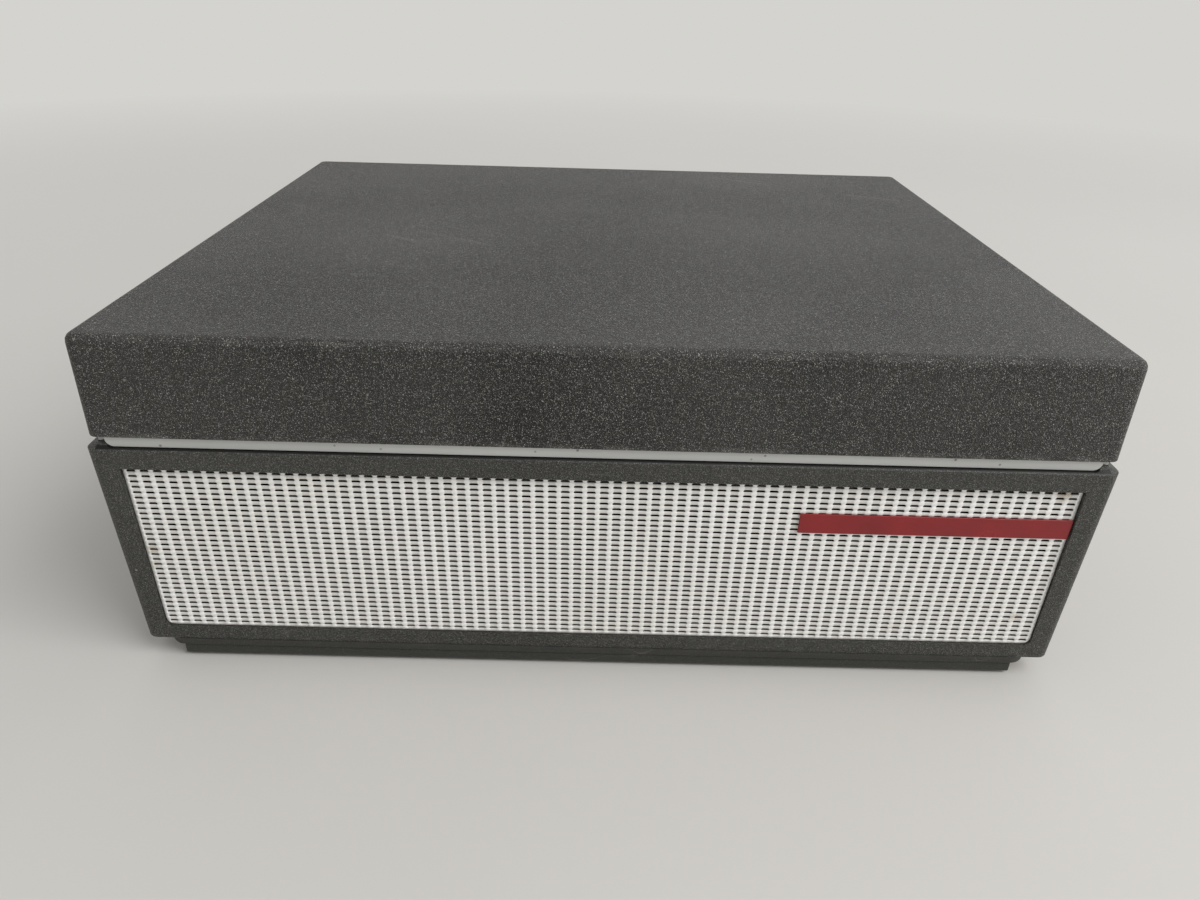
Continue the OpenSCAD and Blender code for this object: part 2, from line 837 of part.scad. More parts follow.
// Uprights: body to chassis, chassis to deck, chassis to motor, and the pivots of the levers and the dial
spacer_side = 10;
spacer_back = 14;
spacer_x = x_in - spacer_side;
spacer_at = [for (sx = [-1, 1], y = [pillar_front_y, y_in - spacer_back]) [sx * spacer_x, y]];
screw_deep = 9;
motor_post_r = 3;
motor_post_in = 6;
motor_corner = motor_w / 2 - motor_post_in;
motor_front_post = 8;
motor_drop = 30;
z_motor = z_chassis - motor_drop;
brake_angle = 45;
brake_reach = 38;
lever_w = 6;
pad_t = 3;
brake_lift = 5.5;
brake_z = z_chassis_top + brake_lift;
brake_h = 4;
pivot_r = 2.5;
pivot_over = 1;
brake_arm_r = turntable_r + move_gap + pad_t + lever_w / 2;
function brake_pivot(side) = let (a = brake_angle, u = brake_arm_r, v = brake_reach)
    [side * (reel_x + u * cos(a) + v * sin(a)), reel_y + u * sin(a) - v * cos(a)];
dial_front = 37;
dial_lift = 9.8;
dial_at = [0, reel_y - dial_front];
dial_z = z_chassis_top + dial_lift;
dial_t = 4;
pinch_lift = 3.6;
pinch_z = z_deck + pinch_lift;
pinch_t = 2.5;

module pillars() {
    shoulder = 2;
    color("#b8b8b4") {
        for (sx = [-1, 1], y = [pillar_front_y, pillar_back_y])
            post([sx * pillar_x, y], pillar_r, z_floor, z_chassis);
        for (at = spacer_at)
            difference() {
                post(at, pillar_r, z_chassis_top, z_under);
                post(at, screw_r + run_fit, z_under - screw_deep - past, z_under + past);
            }
        for (sx = [-1, 1], y = [-motor_front_post, motor_corner])
            post(motor_at + [sx * motor_corner, y], motor_post_r, z_motor, z_chassis);
        for (side = [-1, 1]) {
            post(brake_pivot(side), pivot_r + shoulder, z_chassis_top, brake_z - move_gap);
            post(brake_pivot(side), pivot_r, brake_z - move_gap, brake_z + brake_h + pivot_over);
        }
        post(pinch_at, axle_r + shoulder, z_chassis_top, pinch_z - move_gap);
        post(pinch_at, axle_r, pinch_z - move_gap, pinch_z + pinch_t + pivot_over);
        post(dial_at, axle_r + shoulder, z_chassis_top, dial_z - move_gap);
        post(dial_at, axle_r, dial_z - move_gap, dial_z + dial_t);
    }
}

// Keys: five caps on levers that turn on one axle
keys_x1 = deck_half - key_right;
keys_x0 = keys_x1 - key_count * key_pitch;
key_w = key_pitch - key_gap;
key_y0 = y_deck + key_front;
key_y1 = key_y0 + key_len;
axle_y = key_y1 + key_reach;
axle_z = z_deck - key_drop;
lug_r = 5;
key_arm_t = 6;

// Openings in the deck, and the room that they leave round what passes through them
capstan_room = 12;
pinch_room = 8;
path_room = 6;
roller_clear = 0.6;
head_room = 20;
boss_room = 1.5;
shaft_room = 1;
key_room_side = 0.6;
key_room_front = 2;
key_room_back = 1.2;
head_open_x0 = -48;
head_open_x1 = capstan_x + capstan_room;
pinch_open_x1 = pinch_at[0] + pinch_room;
pinch_open_y1 = path_y - path_room;
head_open_y0 = roller_rest_y - roller_r - roller_clear;
head_open_y1 = face_y + head_room;
boss_hole_r = boss_r + boss_room;
window_edge = 4;
dial_window_w = 22;
dial_window_d = 8;
dial_window_in = 2;
knob_y = y_deck + knob_front;
meter_y = knob_y;

// Outline of the control panel
panel_in = 6;
panel_keys_gap = 14;
panel_y0 = y_deck + panel_in;
panel_x0 = -deck_half + panel_in;
panel_x1 = keys_x0 - panel_keys_gap;

module deck_openings(z0, z1) {
    translate([0, 0, z0]) linear_extrude(z1 - z0) {
        translate([keys_x0 - key_room_side, key_y0 - key_room_front])
            square([key_count * key_pitch + 2 * key_room_side, key_len + key_room_front + key_room_back]);
        translate([meter_x, meter_y])
            square([meter_w - 2 * window_edge, meter_d - 2 * window_edge], center = true);
        for (x = [volume_x, tone_x])
            translate([x, knob_y]) circle(shaft_r + shaft_room);
    }
}

module deck_plate() {
    apron_r = 3;
    apron_half = notch_half - seat_fit;
    apron_bottom = notch_z + move_gap;
    y_wide = -y_in + seat_fit;
    color("#a9a9a6")
        difference() {
            union() {
                corners([-deck_half, y_wide, z_under], [deck_half, y_in - seat_fit, z_deck]);
                corners([-apron_half, y_deck + apron_t / 2, z_under], [apron_half, y_wide + past, z_deck]);
                upright(y_deck, apron_t)
                    translate([0, apron_bottom]) tray_rect(2 * apron_half, z_deck - apron_bottom, apron_r);
            }
            deck_openings(z_under - past, z_deck + past);
            corners([head_open_x0, head_open_y0, z_under - past],
                [head_open_x1, head_open_y1, z_deck + past]);
            corners([head_open_x1 - past, head_open_y0, z_under - past],
                [pinch_open_x1, pinch_open_y1, z_deck + past]);
            for (at = [supply_at, takeup_at])
                post(at, boss_hole_r, z_under - past, z_deck + past);
            translate([0, dial_at[1] - dial_r + dial_window_d / 2 + dial_window_in, z_under - past])
                linear_extrude(deck_t + 2 * past) square([dial_window_w, dial_window_d], center = true);
            for (at = spacer_at)
                post(at, screw_r + screw_fit, z_under - past, z_deck + past);
            for (x = [guide_left_x, guide_right_x])
                post([x, face_y + guide_r], guide_r / 2 + run_fit, z_under - past, z_deck + past);
        }
}

module control_panel() {
    color("#c9c9c6")
        difference() {
            corners([panel_x0, panel_y0, z_deck], [panel_x1, panel_y0 + panel_d, z_deck + panel_t]);
            deck_openings(z_deck - past, z_deck + panel_t + past);
        }
}

module screws() {
    color("#c4c4c0") {
        for (at = spacer_at) {
            post(at, screw_head_r, z_deck, z_deck + screw_head_h);
            post(at, screw_r, z_under - screw_deep, z_deck);
        }
        for (sx = [-1, 1], y = cover_screw_y) {
            post([sx * cover_screw_x, y], screw_head_r, z_cover - screw_head_h, z_cover);
            post([sx * cover_screw_x, y], screw_r, z_cover, z_floor);
        }
    }
}

// Head cover: a hood over the heads and a hood over the pinch roller, with the tape slot between them
hood_x0 = -50;
hood_right = 14;
front_hood_right = 10;
hood_behind = 2;
hood_d = 29.5;
hood_r = 4;
hood_cheek = 6;
slot_d = 8.5;
front_hood_over = 0.5;
hood_x1 = capstan_x + hood_right;
front_hood_x1 = pinch_at[0] + front_hood_right;
hood_y0 = face_y + hood_behind;
hood_y1 = hood_y0 + hood_d;
front_hood_y1 = hood_y0 - slot_d;
front_hood_y0 = chassis_front - front_hood_over;
z_hood = z_deck + cover_h;

module hood(x0, y0, x1, y1) {
    difference() {
        translate([(x0 + x1) / 2, (y0 + y1) / 2, z_deck]) linear_extrude(cover_h)
            round_rect(x1 - x0, y1 - y0, hood_r);
        corners([x0 + cover_wall, y0 + cover_wall, z_deck - past],
            [x1 - cover_wall, y1 - cover_wall, z_hood - cover_wall]);
    }
}

module head_cover() {
    bridge_t = 1.4;
    bridge_clear = 2;
    bridge_x1 = capstan_x - roller_r - bridge_clear;
    sill = 3;
    roller_room = 5;
    color("#8f8f8c")
        difference() {
            union() {
                hood(hood_x0, hood_y0, hood_x1, hood_y1);
                hood(hood_x0, front_hood_y0, front_hood_x1, front_hood_y1);
                corners([hood_x0 + hood_cheek, front_hood_y1 - cover_wall, z_deck],
                    [bridge_x1, hood_y0 + cover_wall, z_deck + bridge_t]);
            }
            corners([hood_x0 + hood_cheek, hood_y0 - past, z_deck + sill],
                [hood_x1 - hood_cheek, hood_y0 + cover_wall + past, z_hood - cover_wall]);
            corners([capstan_x - roller_r - roller_room, front_hood_y1 - cover_wall - past, z_deck - past],
                [capstan_x + roller_r + roller_room, front_hood_y1 + past, z_hood - cover_wall]);
            corners([capstan_x - capstan_r - roller_room / 2, hood_y0 - past, z_deck - past],
                [capstan_x + capstan_r + roller_room / 2, hood_y0 + cover_wall + past, z_deck + sill + past]);
        }
}

// Heads on their bracket, faces in line with the tape
erase_x = -30;
record_x = 0;
head_z = z_tape - head_h / 2;
bracket_t = 1.5;

module head_bracket() {
    foot_w = 8;
    foot_d = 12;
    behind_face = 4;
    left_over = 10;
    right_over = 12;
    y0 = face_y + behind_face;
    y1 = y0 + foot_d;
    color("#b0b2b2") {
        corners([erase_x - left_over, y0, head_z - bracket_t], [record_x + right_over, y1, head_z]);
        for (x = [erase_x, record_x])
            corners([x - foot_w / 2, y0, z_chassis_top], [x + foot_w / 2, y1, head_z - bracket_t]);
    }
}

module head(x, w) {
    nose_share = 0.8;
    nose_r = w * nose_share;
    intersection() {
        corners([x - w / 2, face_y, head_z], [x + w / 2, face_y + head_d, head_z + head_h]);
        union() {
            post([x, face_y + nose_r], nose_r, head_z, head_z + head_h);
            corners([x - w / 2, face_y + nose_r / 2, head_z], [x + w / 2, face_y + head_d, head_z + head_h]);
        }
    }
}

module erase_head() {
    color("#6d6d6b") head(erase_x, erase_w);
}

module record_play_head() {
    color("#8a8b8b") head(record_x, record_w);
}

module tape_guides() {
    rim = 2;
    rim_t = 2;
    color("#d0d0cd")
        for (x = [guide_left_x, guide_right_x])
            translate([x, face_y + guide_r, 0]) {
                translate([0, 0, z_deck - deck_t]) cylinder(r = guide_r / 2, h = deck_t);
                translate([0, 0, z_deck])
                    cylinder(r = guide_r, h = z_tape + tape_w / 2 + move_gap - z_deck + rim_t);
                translate([0, 0, z_tape - tape_w / 2 - move_gap - rim_t])
                    cylinder(r = guide_r + rim, h = rim_t);
                translate([0, 0, z_tape + tape_w / 2 + move_gap]) cylinder(r = guide_r + rim, h = rim_t);
            }
}

// Pinch roller on its arm
roller_z = pinch_z + pinch_t + move_gap;

module pinch_arm() {
    ear_r = 5;
    arm_half = 4;
    pin_root = 0.5;
    pin_over = 0.4;
    roller_x = pinch_at[0] - pinch_len;
    color("#a3a5a5") {
        difference() {
            union() {
                post(pinch_at, ear_r, pinch_z, pinch_z + pinch_t);
                post([roller_x, pinch_at[1]], ear_r, pinch_z, pinch_z + pinch_t);
                corners([roller_x, pinch_at[1] - arm_half, pinch_z], [pinch_at[0], pinch_at[1] + arm_half,
                    pinch_z + pinch_t]);
                post([roller_x, pinch_at[1]],
                    axle_r, pinch_z + pinch_t - pin_root, roller_z + roller_h + pin_over);
            }
            post(pinch_at, axle_r + run_fit, pinch_z - past, pinch_z + pinch_t + past);
        }
    }
}

module pinch_roller() {
    color("#1d1d1c")
        tube([pinch_at[0] - pinch_len, pinch_at[1]],
            roller_r, axle_r + run_fit, roller_z, roller_z + roller_h);
}

// Tape: the run from the full pack, round the guides and past the heads, to the take-up pack
function aim(c1, r1, c2, r2) = let (d = c2 - c1, along = sqrt(d * d - (r2 - r1) * (r2 - r1)))
    atan2(d[1], d[0]) - atan2(r2 - r1, along);
function leave(c, r, a) = c + r * [sin(a), -cos(a)];
function run_side(o) = let (
        gap = move_gap + tape_t / 2 + o,
        left = [guide_left_x, face_y + guide_r],
        right = [guide_right_x, face_y + guide_r],
        a = aim(supply_at, supply_pack_r + gap, left, guide_r + gap),
        b = aim(right, guide_r + gap, takeup_at, takeup_pack_r + gap),
        bends = 6)
    concat(
        [leave(supply_at, supply_pack_r + gap, a)],
        [for (i = [0 : bends]) leave(left, guide_r + gap, a * (1 - i / bends))],
        [for (i = [0 : bends]) leave(right, guide_r + gap, b * i / bends)],
        [leave(takeup_at, takeup_pack_r + gap, b)]);

module tape_run() {
    near = run_side(-tape_t / 2);
    far = run_side(tape_t / 2);
    color("#4a3428")
        translate([0, 0, z_tape - tape_w / 2]) linear_extrude(tape_w)
            polygon(concat(near, [for (i = [len(far) - 1 : -1 : 0]) far[i]]));
}

// Reels: two flanges with three windows on a hub, over a spindle with three fins
fin_count = 3;
fin_w = 2;
fin_out = 2.5;
fin_fit = 0.15;
fin_r = spindle_r + fin_out;
turntable_lift = 4.5;
turntable_z = z_chassis_top + turntable_lift;
spindle_drop = 17;
spindle_over = 3;
spindle_bottom = z_chassis - spindle_drop;
spindle_top = z_reel + reel_h + spindle_over;

module reel_window(r0, r1) {
    half = 38;
    steps = 10;
    polygon(concat(
        [for (i = [-steps : steps]) r0 * [cos(i * half / steps), sin(i * half / steps)]],
        [for (i = [steps : -1 : -steps]) r1 * [cos(i * half / steps), sin(i * half / steps)]]));
}

module reel(at) {
    hub_margin = 6;
    rim_margin = 8;
    window_in = hub_r + hub_margin;
    window_out = reel_r - rim_margin;
    fin_step = 360 / fin_count;
    translate([at[0], at[1], z_reel])
        difference() {
            union() {
                cylinder(r = reel_r, h = flange_t);
                cylinder(r = hub_r, h = reel_h);
                translate([0, 0, reel_h - flange_t]) cylinder(r = reel_r, h = flange_t);
            }
            translate([0, 0, -past]) cylinder(r = spindle_r + run_fit, h = reel_h + 2 * past);
            for (i = [0 : fin_count - 1])
                rotate([0, 0, fin_step * i]) {
                    translate([0, -fin_w / 2 - fin_fit, -past])
                        cube([fin_r + 2 * fin_fit, fin_w + 2 * fin_fit, reel_h + 2 * past]);
                    for (z = [0, reel_h - flange_t])
                        rotate([0, 0, fin_step / 2]) translate([0, 0, z - past])
                            linear_extrude(flange_t + 2 * past) reel_window(window_in, window_out);
                }
        }
}

module turntable(at) {
    fin_lift = 0.2;
    fin_under = 1.2;
    translate([at[0], at[1], 0]) {
        difference() {
            union() {
                translate([0, 0, turntable_z]) cylinder(r = turntable_r, h = turntable_t);
                translate([0, 0, turntable_z]) cylinder(r = boss_r, h = z_reel - turntable_z);
            }
            translate([0, 0, turntable_z - past])
                cylinder(r = spindle_r + run_fit, h = z_reel - turntable_z + 2 * past);
        }
        translate([0, 0, spindle_bottom]) cylinder(r = spindle_r, h = spindle_top - spindle_bottom);
        for (i = [0 : fin_count - 1])
            rotate([0, 0, 360 * i / fin_count]) translate([0, -fin_w / 2, z_reel + fin_lift])
                cube([fin_r, fin_w, spindle_top - z_reel - fin_under]);
    }
}

module tape_pack(at, r) {
    tube(at, r, hub_r, z_tape - tape_w / 2, z_tape + tape_w / 2);
}

module supply_turntable() {
    color("#7d7f80") turntable(supply_at);
}

module supply_reel() {
    color("#c8c8c2") reel(supply_at);
}

module supply_tape() {
    color("#4a3428") tape_pack(supply_at, supply_pack_r);
}

// The take-up spindle also carries the disc that its clutch drives
felt_disc_r = 20;
felt_disc_t = 4;
clutch_z = spindle_bottom + felt_disc_t + move_gap;
clutch_t = 4.6;

module takeup_turntable() {
    color("#7d7f80") {
        turntable(takeup_at);
        tube(takeup_at, felt_disc_r, spindle_r, spindle_bottom, spindle_bottom + felt_disc_t);
    }
}

module takeup_reel() {
    color("#c8c8c2") reel(takeup_at);
}

module takeup_tape() {
    color("#4a3428") tape_pack(takeup_at, takeup_pack_r);
}

module takeup_clutch() {
    color("#d8cfae")
        tube(takeup_at, clutch_r, spindle_r + run_fit, clutch_z, clutch_z + clutch_t);
}

// Drive: motor, flywheel on the capstan shaft, and the belts
flywheel_drop = 26;
flywheel_z = z_chassis - flywheel_drop;
hub_pulley_h = clutch_z + clutch_t - flywheel_z - flywheel_t;
shaft_under = 5;
shaft_over = 6.3;
shaft_bottom = flywheel_z - shaft_under;
shaft_top = z_tape + shaft_over;
strap_t = 2;
strap_w = 16;
strap_room = 10;
bearing_below = 1.6;
capstan_bearing_top = z_deck - bearing_below;

module bearings() {
    collar_r = 13;
    collar_t = 2.5;
    supply_end = spindle_bottom + felt_disc_t + 1;
    clutch_top = clutch_z + clutch_t + move_gap;
    color("#b39a5a") {
        for (part = [[supply_at, spindle_r, supply_end, turntable_z - move_gap],
                [takeup_at, spindle_r, clutch_top, turntable_z - move_gap],
                [capstan_at, capstan_r, clutch_top, capstan_bearing_top]])
            difference() {
                union() {
                    post(part[0], bearing_r, part[2], part[3]);
                    post(part[0], collar_r, z_chassis_top, z_chassis_top + collar_t);
                }
                post(part[0], part[1] + run_fit, part[2] - past, part[3] + past);
            }
    }
}

module flywheel() {
    color("#8b8d8e")
        difference() {
            union() {
                post(capstan_at, flywheel_r, flywheel_z, flywheel_z + flywheel_t);
                post(capstan_at, hub_pulley_r, flywheel_z, flywheel_z + flywheel_t + hub_pulley_h);
            }
            post(capstan_at, capstan_r + run_fit, flywheel_z - past,
                flywheel_z + flywheel_t + hub_pulley_h + past);
        }
}

module capstan_shaft() {
    color("#dcdcda") post(capstan_at, capstan_r, shaft_bottom, shaft_top);
}

module flywheel_bracket() {
    half = flywheel_r + strap_room;
    color("#9a9c9c")
        translate([capstan_at[0], capstan_at[1], 0]) {
            corners([-half, -strap_w / 2, shaft_bottom - move_gap - strap_t], [half, strap_w / 2,
                shaft_bottom - move_gap]);
            for (sx = [-1, 1])
                translate([sx * (half - strap_t / 2), 0, 0])
                    corners([-strap_t / 2, -strap_w / 2, shaft_bottom - move_gap], [strap_t / 2, strap_w / 2,
                        z_chassis]);
        }
}

// The outline of a belt that runs round two pulleys
function belt_side(c1, r1, c2, r2) = let (
        d = c2 - c1,
        a = atan2(d[1], d[0]),
        half = acos((r1 - r2) / norm(d)),
        steps = 24)
    concat(
        [for (i = [0 : steps]) let (t = a + half + (360 - 2 * half) * i / steps) c1 + r1 * [cos(t), sin(t)]],
        [for (i = [0 : steps]) let (t = a - half + 2 * half * i / steps) c2 + r2 * [cos(t), sin(t)]]);

belt_gap = 0.4;

module belt(c1, r1, c2, r2, z) {
    translate([0, 0, z - belt_w / 2]) linear_extrude(belt_w)
        difference() {
            polygon(belt_side(c1, r1 + belt_gap + belt_t, c2, r2 + belt_gap + belt_t));
            polygon(belt_side(c1, r1 + belt_gap, c2, r2 + belt_gap));
        }
}

motor_belt_z = flywheel_z + flywheel_t / 2;

module drive_belts() {
    color("#262626") {
        belt(motor_at, motor_pulley_r, capstan_at, flywheel_r, motor_belt_z);
        belt(capstan_at, hub_pulley_r, takeup_at, clutch_r, clutch_z + clutch_t / 2);
    }
}

rotor_r = 3;
rotor_over = 3;
rotor_top = motor_belt_z + belt_w / 2 + rotor_over;

module motor_body() {
    well = 20;
    motor_r = 8;
    color("#5d6063")
        difference() {
            translate([motor_at[0], motor_at[1], z_motor - motor_h]) linear_extrude(motor_h)
                round_rect(motor_w, motor_w, motor_r);
            post(motor_at, rotor_r + run_fit, z_motor - well, z_motor + past);
        }
}

module motor_rotor() {
    pulley_rims = 3;
    pulley_h = belt_w + pulley_rims;
    well = 18;
    color("#c9b06a") {
        difference() {
            post(motor_at, motor_pulley_r, motor_belt_z - pulley_h / 2, motor_belt_z + pulley_h / 2);
            post(motor_at, rotor_r + run_fit, motor_belt_z - pulley_h, motor_belt_z + pulley_h);
        }
        post(motor_at, rotor_r, z_motor - well, rotor_top);
    }
}

// Brakes: a lever with a pad at the rim of each turntable
module brake(side) {
    pad_half = 5;
    mirror([side < 0 ? 1 : 0, 0, 0]) translate([reel_x, reel_y, brake_z])
        rotate([0, 0, brake_angle])
            difference() {
                union() {
                    corners([turntable_r + move_gap, -pad_half, 0],
                        [turntable_r + move_gap + pad_t, pad_half, brake_h]);
                    corners([brake_arm_r - lever_w / 2, -brake_reach, 0],
                        [brake_arm_r + lever_w / 2, pad_half, brake_h]);
                    translate([brake_arm_r, -brake_reach, 0]) cylinder(r = lever_w, h = brake_h);
                }
                translate([brake_arm_r, -brake_reach, -past])
                    cylinder(r = pivot_r + run_fit, h = brake_h + 2 * past);
            }
}

module supply_brake() {
    color("#a8552f") brake(-1);
}

module takeup_brake() {
    color("#a8552f") brake(1);
}

// One key: the cap, its lever and the lug on the axle
module key(i) {
    nose = 6;
    x = keys_x0 + i * key_pitch + key_gap / 2;
    under = axle_z - key_arm_t / 2;
    difference() {
        along_x(x, key_w)
            union() {
                polygon([
                    [key_y0, under], [key_y1, under], [key_y1, z_deck + key_rise / 2],
                    [key_y0 + nose, z_deck + key_rise], [key_y0, z_deck + key_rise - nose / 2]
                ]);
                translate([key_y1 - past, under]) square([key_reach + past, key_arm_t]);
                translate([axle_y, axle_z]) circle(lug_r);
            }
        translate([x - past, axle_y, axle_z]) rotate([0, 90, 0])
            cylinder(r = axle_r + run_fit, h = key_w + 2 * past);
    }
}

module record_key() {
    color("#a3262a") key(0);
}

module rewind_key() {
    color("#e4e0d2") key(1);
}

module stop_key() {
    color("#e4e0d2") key(2);
}

module start_key() {
    color("#e4e0d2") key(3);
}

module forward_key() {
    color("#e4e0d2") key(4);
}

frame_t = 2;
cheek_gap = 1.5;

module key_frame() {
    frame_behind = 10;
    cheek_rise = 6;
    base_y0 = chassis_front;
    base_y1 = axle_y + frame_behind;
    cheek_top = axle_z + cheek_rise;
    left = keys_x0 - cheek_gap;
    right = keys_x1 + cheek_gap;
    color("#9da0a0") {
        difference() {
            union() {
                corners([left - frame_t, base_y0, z_chassis_top],
                    [right + frame_t, base_y1, z_chassis_top + frame_t]);
                for (x = [left - frame_t, right])
                    corners([x, base_y0, z_chassis_top], [x + frame_t, base_y1, cheek_top]);
            }
            translate([left - frame_t - past, axle_y, axle_z]) rotate([0, 90, 0])
                cylinder(r = axle_r + run_fit, h = right - left + 2 * frame_t + 2 * past);
        }
        translate([left - frame_t, axle_y, axle_z]) rotate([0, 90, 0])
            cylinder(r = axle_r, h = right - left + 2 * frame_t);
    }
}

// A comb of leaf springs, one finger under each key
module key_springs() {
    leaf_t = 0.5;
    finger_w = 8;
    root_d = 5;
    finger_rise = axle_z - key_arm_t / 2 - move_gap - leaf_t - z_chassis_top;
    root_y0 = chassis_front - root_d;
    finger_len = 24;
    color("#b9a15c")
        union() {
            corners([keys_x0, root_y0, z_chassis], [keys_x1, chassis_front, z_chassis + leaf_t]);
            for (i = [0 : key_count - 1])
                along_x(keys_x0 + (i + 0.5) * key_pitch - finger_w / 2, finger_w)
                    polygon([
                        [root_y0 + leaf_t, z_chassis], [root_y0 + leaf_t, z_chassis + leaf_t],
                        [root_y0 - finger_len, z_chassis_top + finger_rise + leaf_t],
                        [root_y0 - finger_len, z_chassis_top + finger_rise]
                    ]);
        }
}

// Knobs on the shafts of the control pots
pot_r = 9;
pot_h = 9.6;
pot_floor = 1;
bush_r = 5.5;
bush_h = 4.5;
pot_z = z_under - bush_h - pot_h;
knob_z = z_deck + panel_t + move_gap;

module knob(x) {
    skirt_h = 3;
    skirt_out = 2;
    cap_t = 3;
    cap_r = knob_r - skirt_out;
    knob_well = knob_h - cap_t;
    flutes = 20;
    flute_r = 0.9;
    translate([x, knob_y, 0]) {
        difference() {
            union() {
                translate([0, 0, knob_z]) cylinder(r = knob_r, h = skirt_h);
                translate([0, 0, knob_z]) cylinder(r = cap_r, h = knob_h);
            }
            post([0, 0], shaft_r + run_fit, knob_z - past, knob_z + knob_well);
            for (i = [0 : flutes - 1])
                rotate([0, 0, 360 * (i + 0.5) / flutes]) translate([cap_r, 0, knob_z + skirt_h])
                    cylinder(r = flute_r, h = knob_h);
        }
        post([0, 0], shaft_r, pot_z + pot_floor, knob_z + knob_well - move_gap);
    }
}

module volume_knob() {
    color("#2a2a29") knob(volume_x);
}

module tone_knob() {
    color("#2a2a29") knob(tone_x);
}

module control_pots() {
    color("#8c8f90")
        for (x = [volume_x, tone_x])
            difference() {
                union() {
                    post([x, knob_y], pot_r, pot_z, pot_z + pot_h);
                    post([x, knob_y], bush_r, pot_z + pot_h, z_under);
                }
                post([x, knob_y], shaft_r + run_fit, pot_z + pot_floor - run_fit, z_under + past);
            }
}

// Level meter: a box under the deck with a needle on a pin
meter_wall = 2;
meter_h = 21;
meter_well = 7;
needle_below = 5;
needle_z = z_under - needle_below;
needle_t = 0.8;
needle_w = 0.8;
needle_hub_r = 2.5;
needle_pin_r = 1;
needle_len = 15;
needle_rest = 35;
needle_in = 6;
needle_at = [meter_x, meter_y - meter_d / 2 + needle_in];
pin_over = 0.6;

module meter_housing() {
    color("#2b2b2a") {
        difference() {
            translate([meter_x, meter_y, z_under - meter_h]) linear_extrude(meter_h)
                square([meter_w, meter_d], center = true);
            translate([meter_x, meter_y, z_under - meter_well]) linear_extrude(meter_well + past)
                square([meter_w - 2 * meter_wall, meter_d - 2 * meter_wall], center = true);
        }
        post(needle_at, needle_pin_r, z_under - meter_well, needle_z + needle_t + pin_over);
    }
}

module meter_needle() {
    color("#b3261e")
        translate([needle_at[0], needle_at[1], needle_z])
            difference() {
                union() {
                    cylinder(r = needle_hub_r, h = needle_t);
                    rotate([0, 0, needle_rest]) translate([-needle_w / 2, 0, 0])
                        cube([needle_w, needle_len, needle_t]);
                }
                translate([0, 0, -past]) cylinder(r = needle_pin_r + run_fit, h = needle_t + 2 * past);
            }
}

module meter_window() {
    window_t = 1.5;
    window_fit = 0.1;
    color("#cfd8d8", 0.5)
        translate([meter_x, meter_y, z_deck + panel_t - window_t]) linear_extrude(window_t)
            square([meter_w - 2 * window_edge - 2 * window_fit, meter_d - 2 * window_edge - 2 * window_fit],
                center = true);
}

// Counter dial on its stud under the deck's small window
module counter_dial() {
    color("#e8e6dc")
        tube(dial_at, dial_r, axle_r + run_fit, dial_z, dial_z + dial_t);
}

// Circuit board on stand-offs, with the transformer beside it
board_side = 16;
board_behind = 15;
board_x0 = -x_in + board_side;
board_y0 = chassis_front + board_behind;
mains_in = 21;
mains_y0 = y_in - mains_in - mains_d;
board_d = mains_y0 - board_mains - board_y0;
board_z = z_body + board_lift;
board_t = 1.6;

module circuit_board() {
    can_r = 7;
    can_h = 28;
    standoff_r = 3;
    standoff_in = 6;
    standoff_left = 12;
    can_pitch = 22;
    can_left = 30;
    can_back = 20;
    color("#7a6a34") {
        corners([board_x0, board_y0, board_z], [board_x0 + board_w, board_y0 + board_d, board_z + board_t]);
        for (x = [board_x0 + standoff_left, board_x0 + board_w - standoff_in],
                y = [board_y0 + standoff_in, board_y0 + board_d - standoff_in])
            post([x, y], standoff_r, z_body, board_z);
        for (i = [0 : 2])
            post([board_x0 + can_left + i * can_pitch, board_y0 + board_d - can_back],
                can_r, board_z + board_t,
                board_z + board_t + can_h);
    }
}

module transformer() {
    mains_x0 = -x_in + mains_in;
    coil_w = 40;
    coil_out = 7;
    coil_lift = 10;
    coil_below = 8;
    color("#4f4a44")
        union() {
            corners([mains_x0, mains_y0 + coil_out, z_body],
                [mains_x0 + mains_w, mains_y0 + mains_d - coil_out,
                z_body + mains_h]);
            corners([mains_x0 + (mains_w - coil_w) / 2, mains_y0, z_body + coil_lift],
                [mains_x0 + (mains_w + coil_w) / 2, mains_y0 + mains_d, z_body + mains_h - coil_below]);
        }
}

// Every piece is drawn about the body's middle, then moved so that the whole machine is centred
module placed() {
    translate([0, shift_y, 0]) children();
}

placed() lid();
placed() lid_hinge_leaves();
placed() body_shell();
placed() hinge_brackets();
placed() bottom_cover();
placed() feet();
placed() handle_grip();
placed() handle_arms();
placed() front_grille();
placed() badge();
placed() socket_panel();
placed() sockets();
placed() speaker_baffle();
placed() speaker_frame();
placed() speaker_cone();
placed() chassis_plate();
placed() pillars();
placed() deck_plate();
placed() control_panel();
placed() screws();
placed() head_cover();
placed() head_bracket();
placed() erase_head();
placed() record_play_head();
placed() tape_guides();
placed() pinch_arm();
placed() pinch_roller();
placed() tape_run();
placed() supply_turntable();
placed() supply_reel();
placed() supply_tape();
placed() takeup_turntable();
placed() takeup_reel();
placed() takeup_tape();
placed() takeup_clutch();
placed() bearings();
placed() flywheel();
placed() capstan_shaft();
placed() flywheel_bracket();
placed() drive_belts();
placed() motor_body();
placed() motor_rotor();
placed() supply_brake();
placed() takeup_brake();
placed() record_key();
placed() rewind_key();
placed() stop_key();
placed() start_key();
placed() forward_key();
placed() key_frame();
placed() key_springs();
placed() volume_knob();
placed() tone_knob();
placed() control_pots();
placed() meter_housing();
placed() meter_needle();
placed() meter_window();
placed() counter_dial();
placed() circuit_board();
placed() transformer();
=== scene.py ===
import json
import math

import bmesh
import bpy
from mathutils import Matrix, Vector


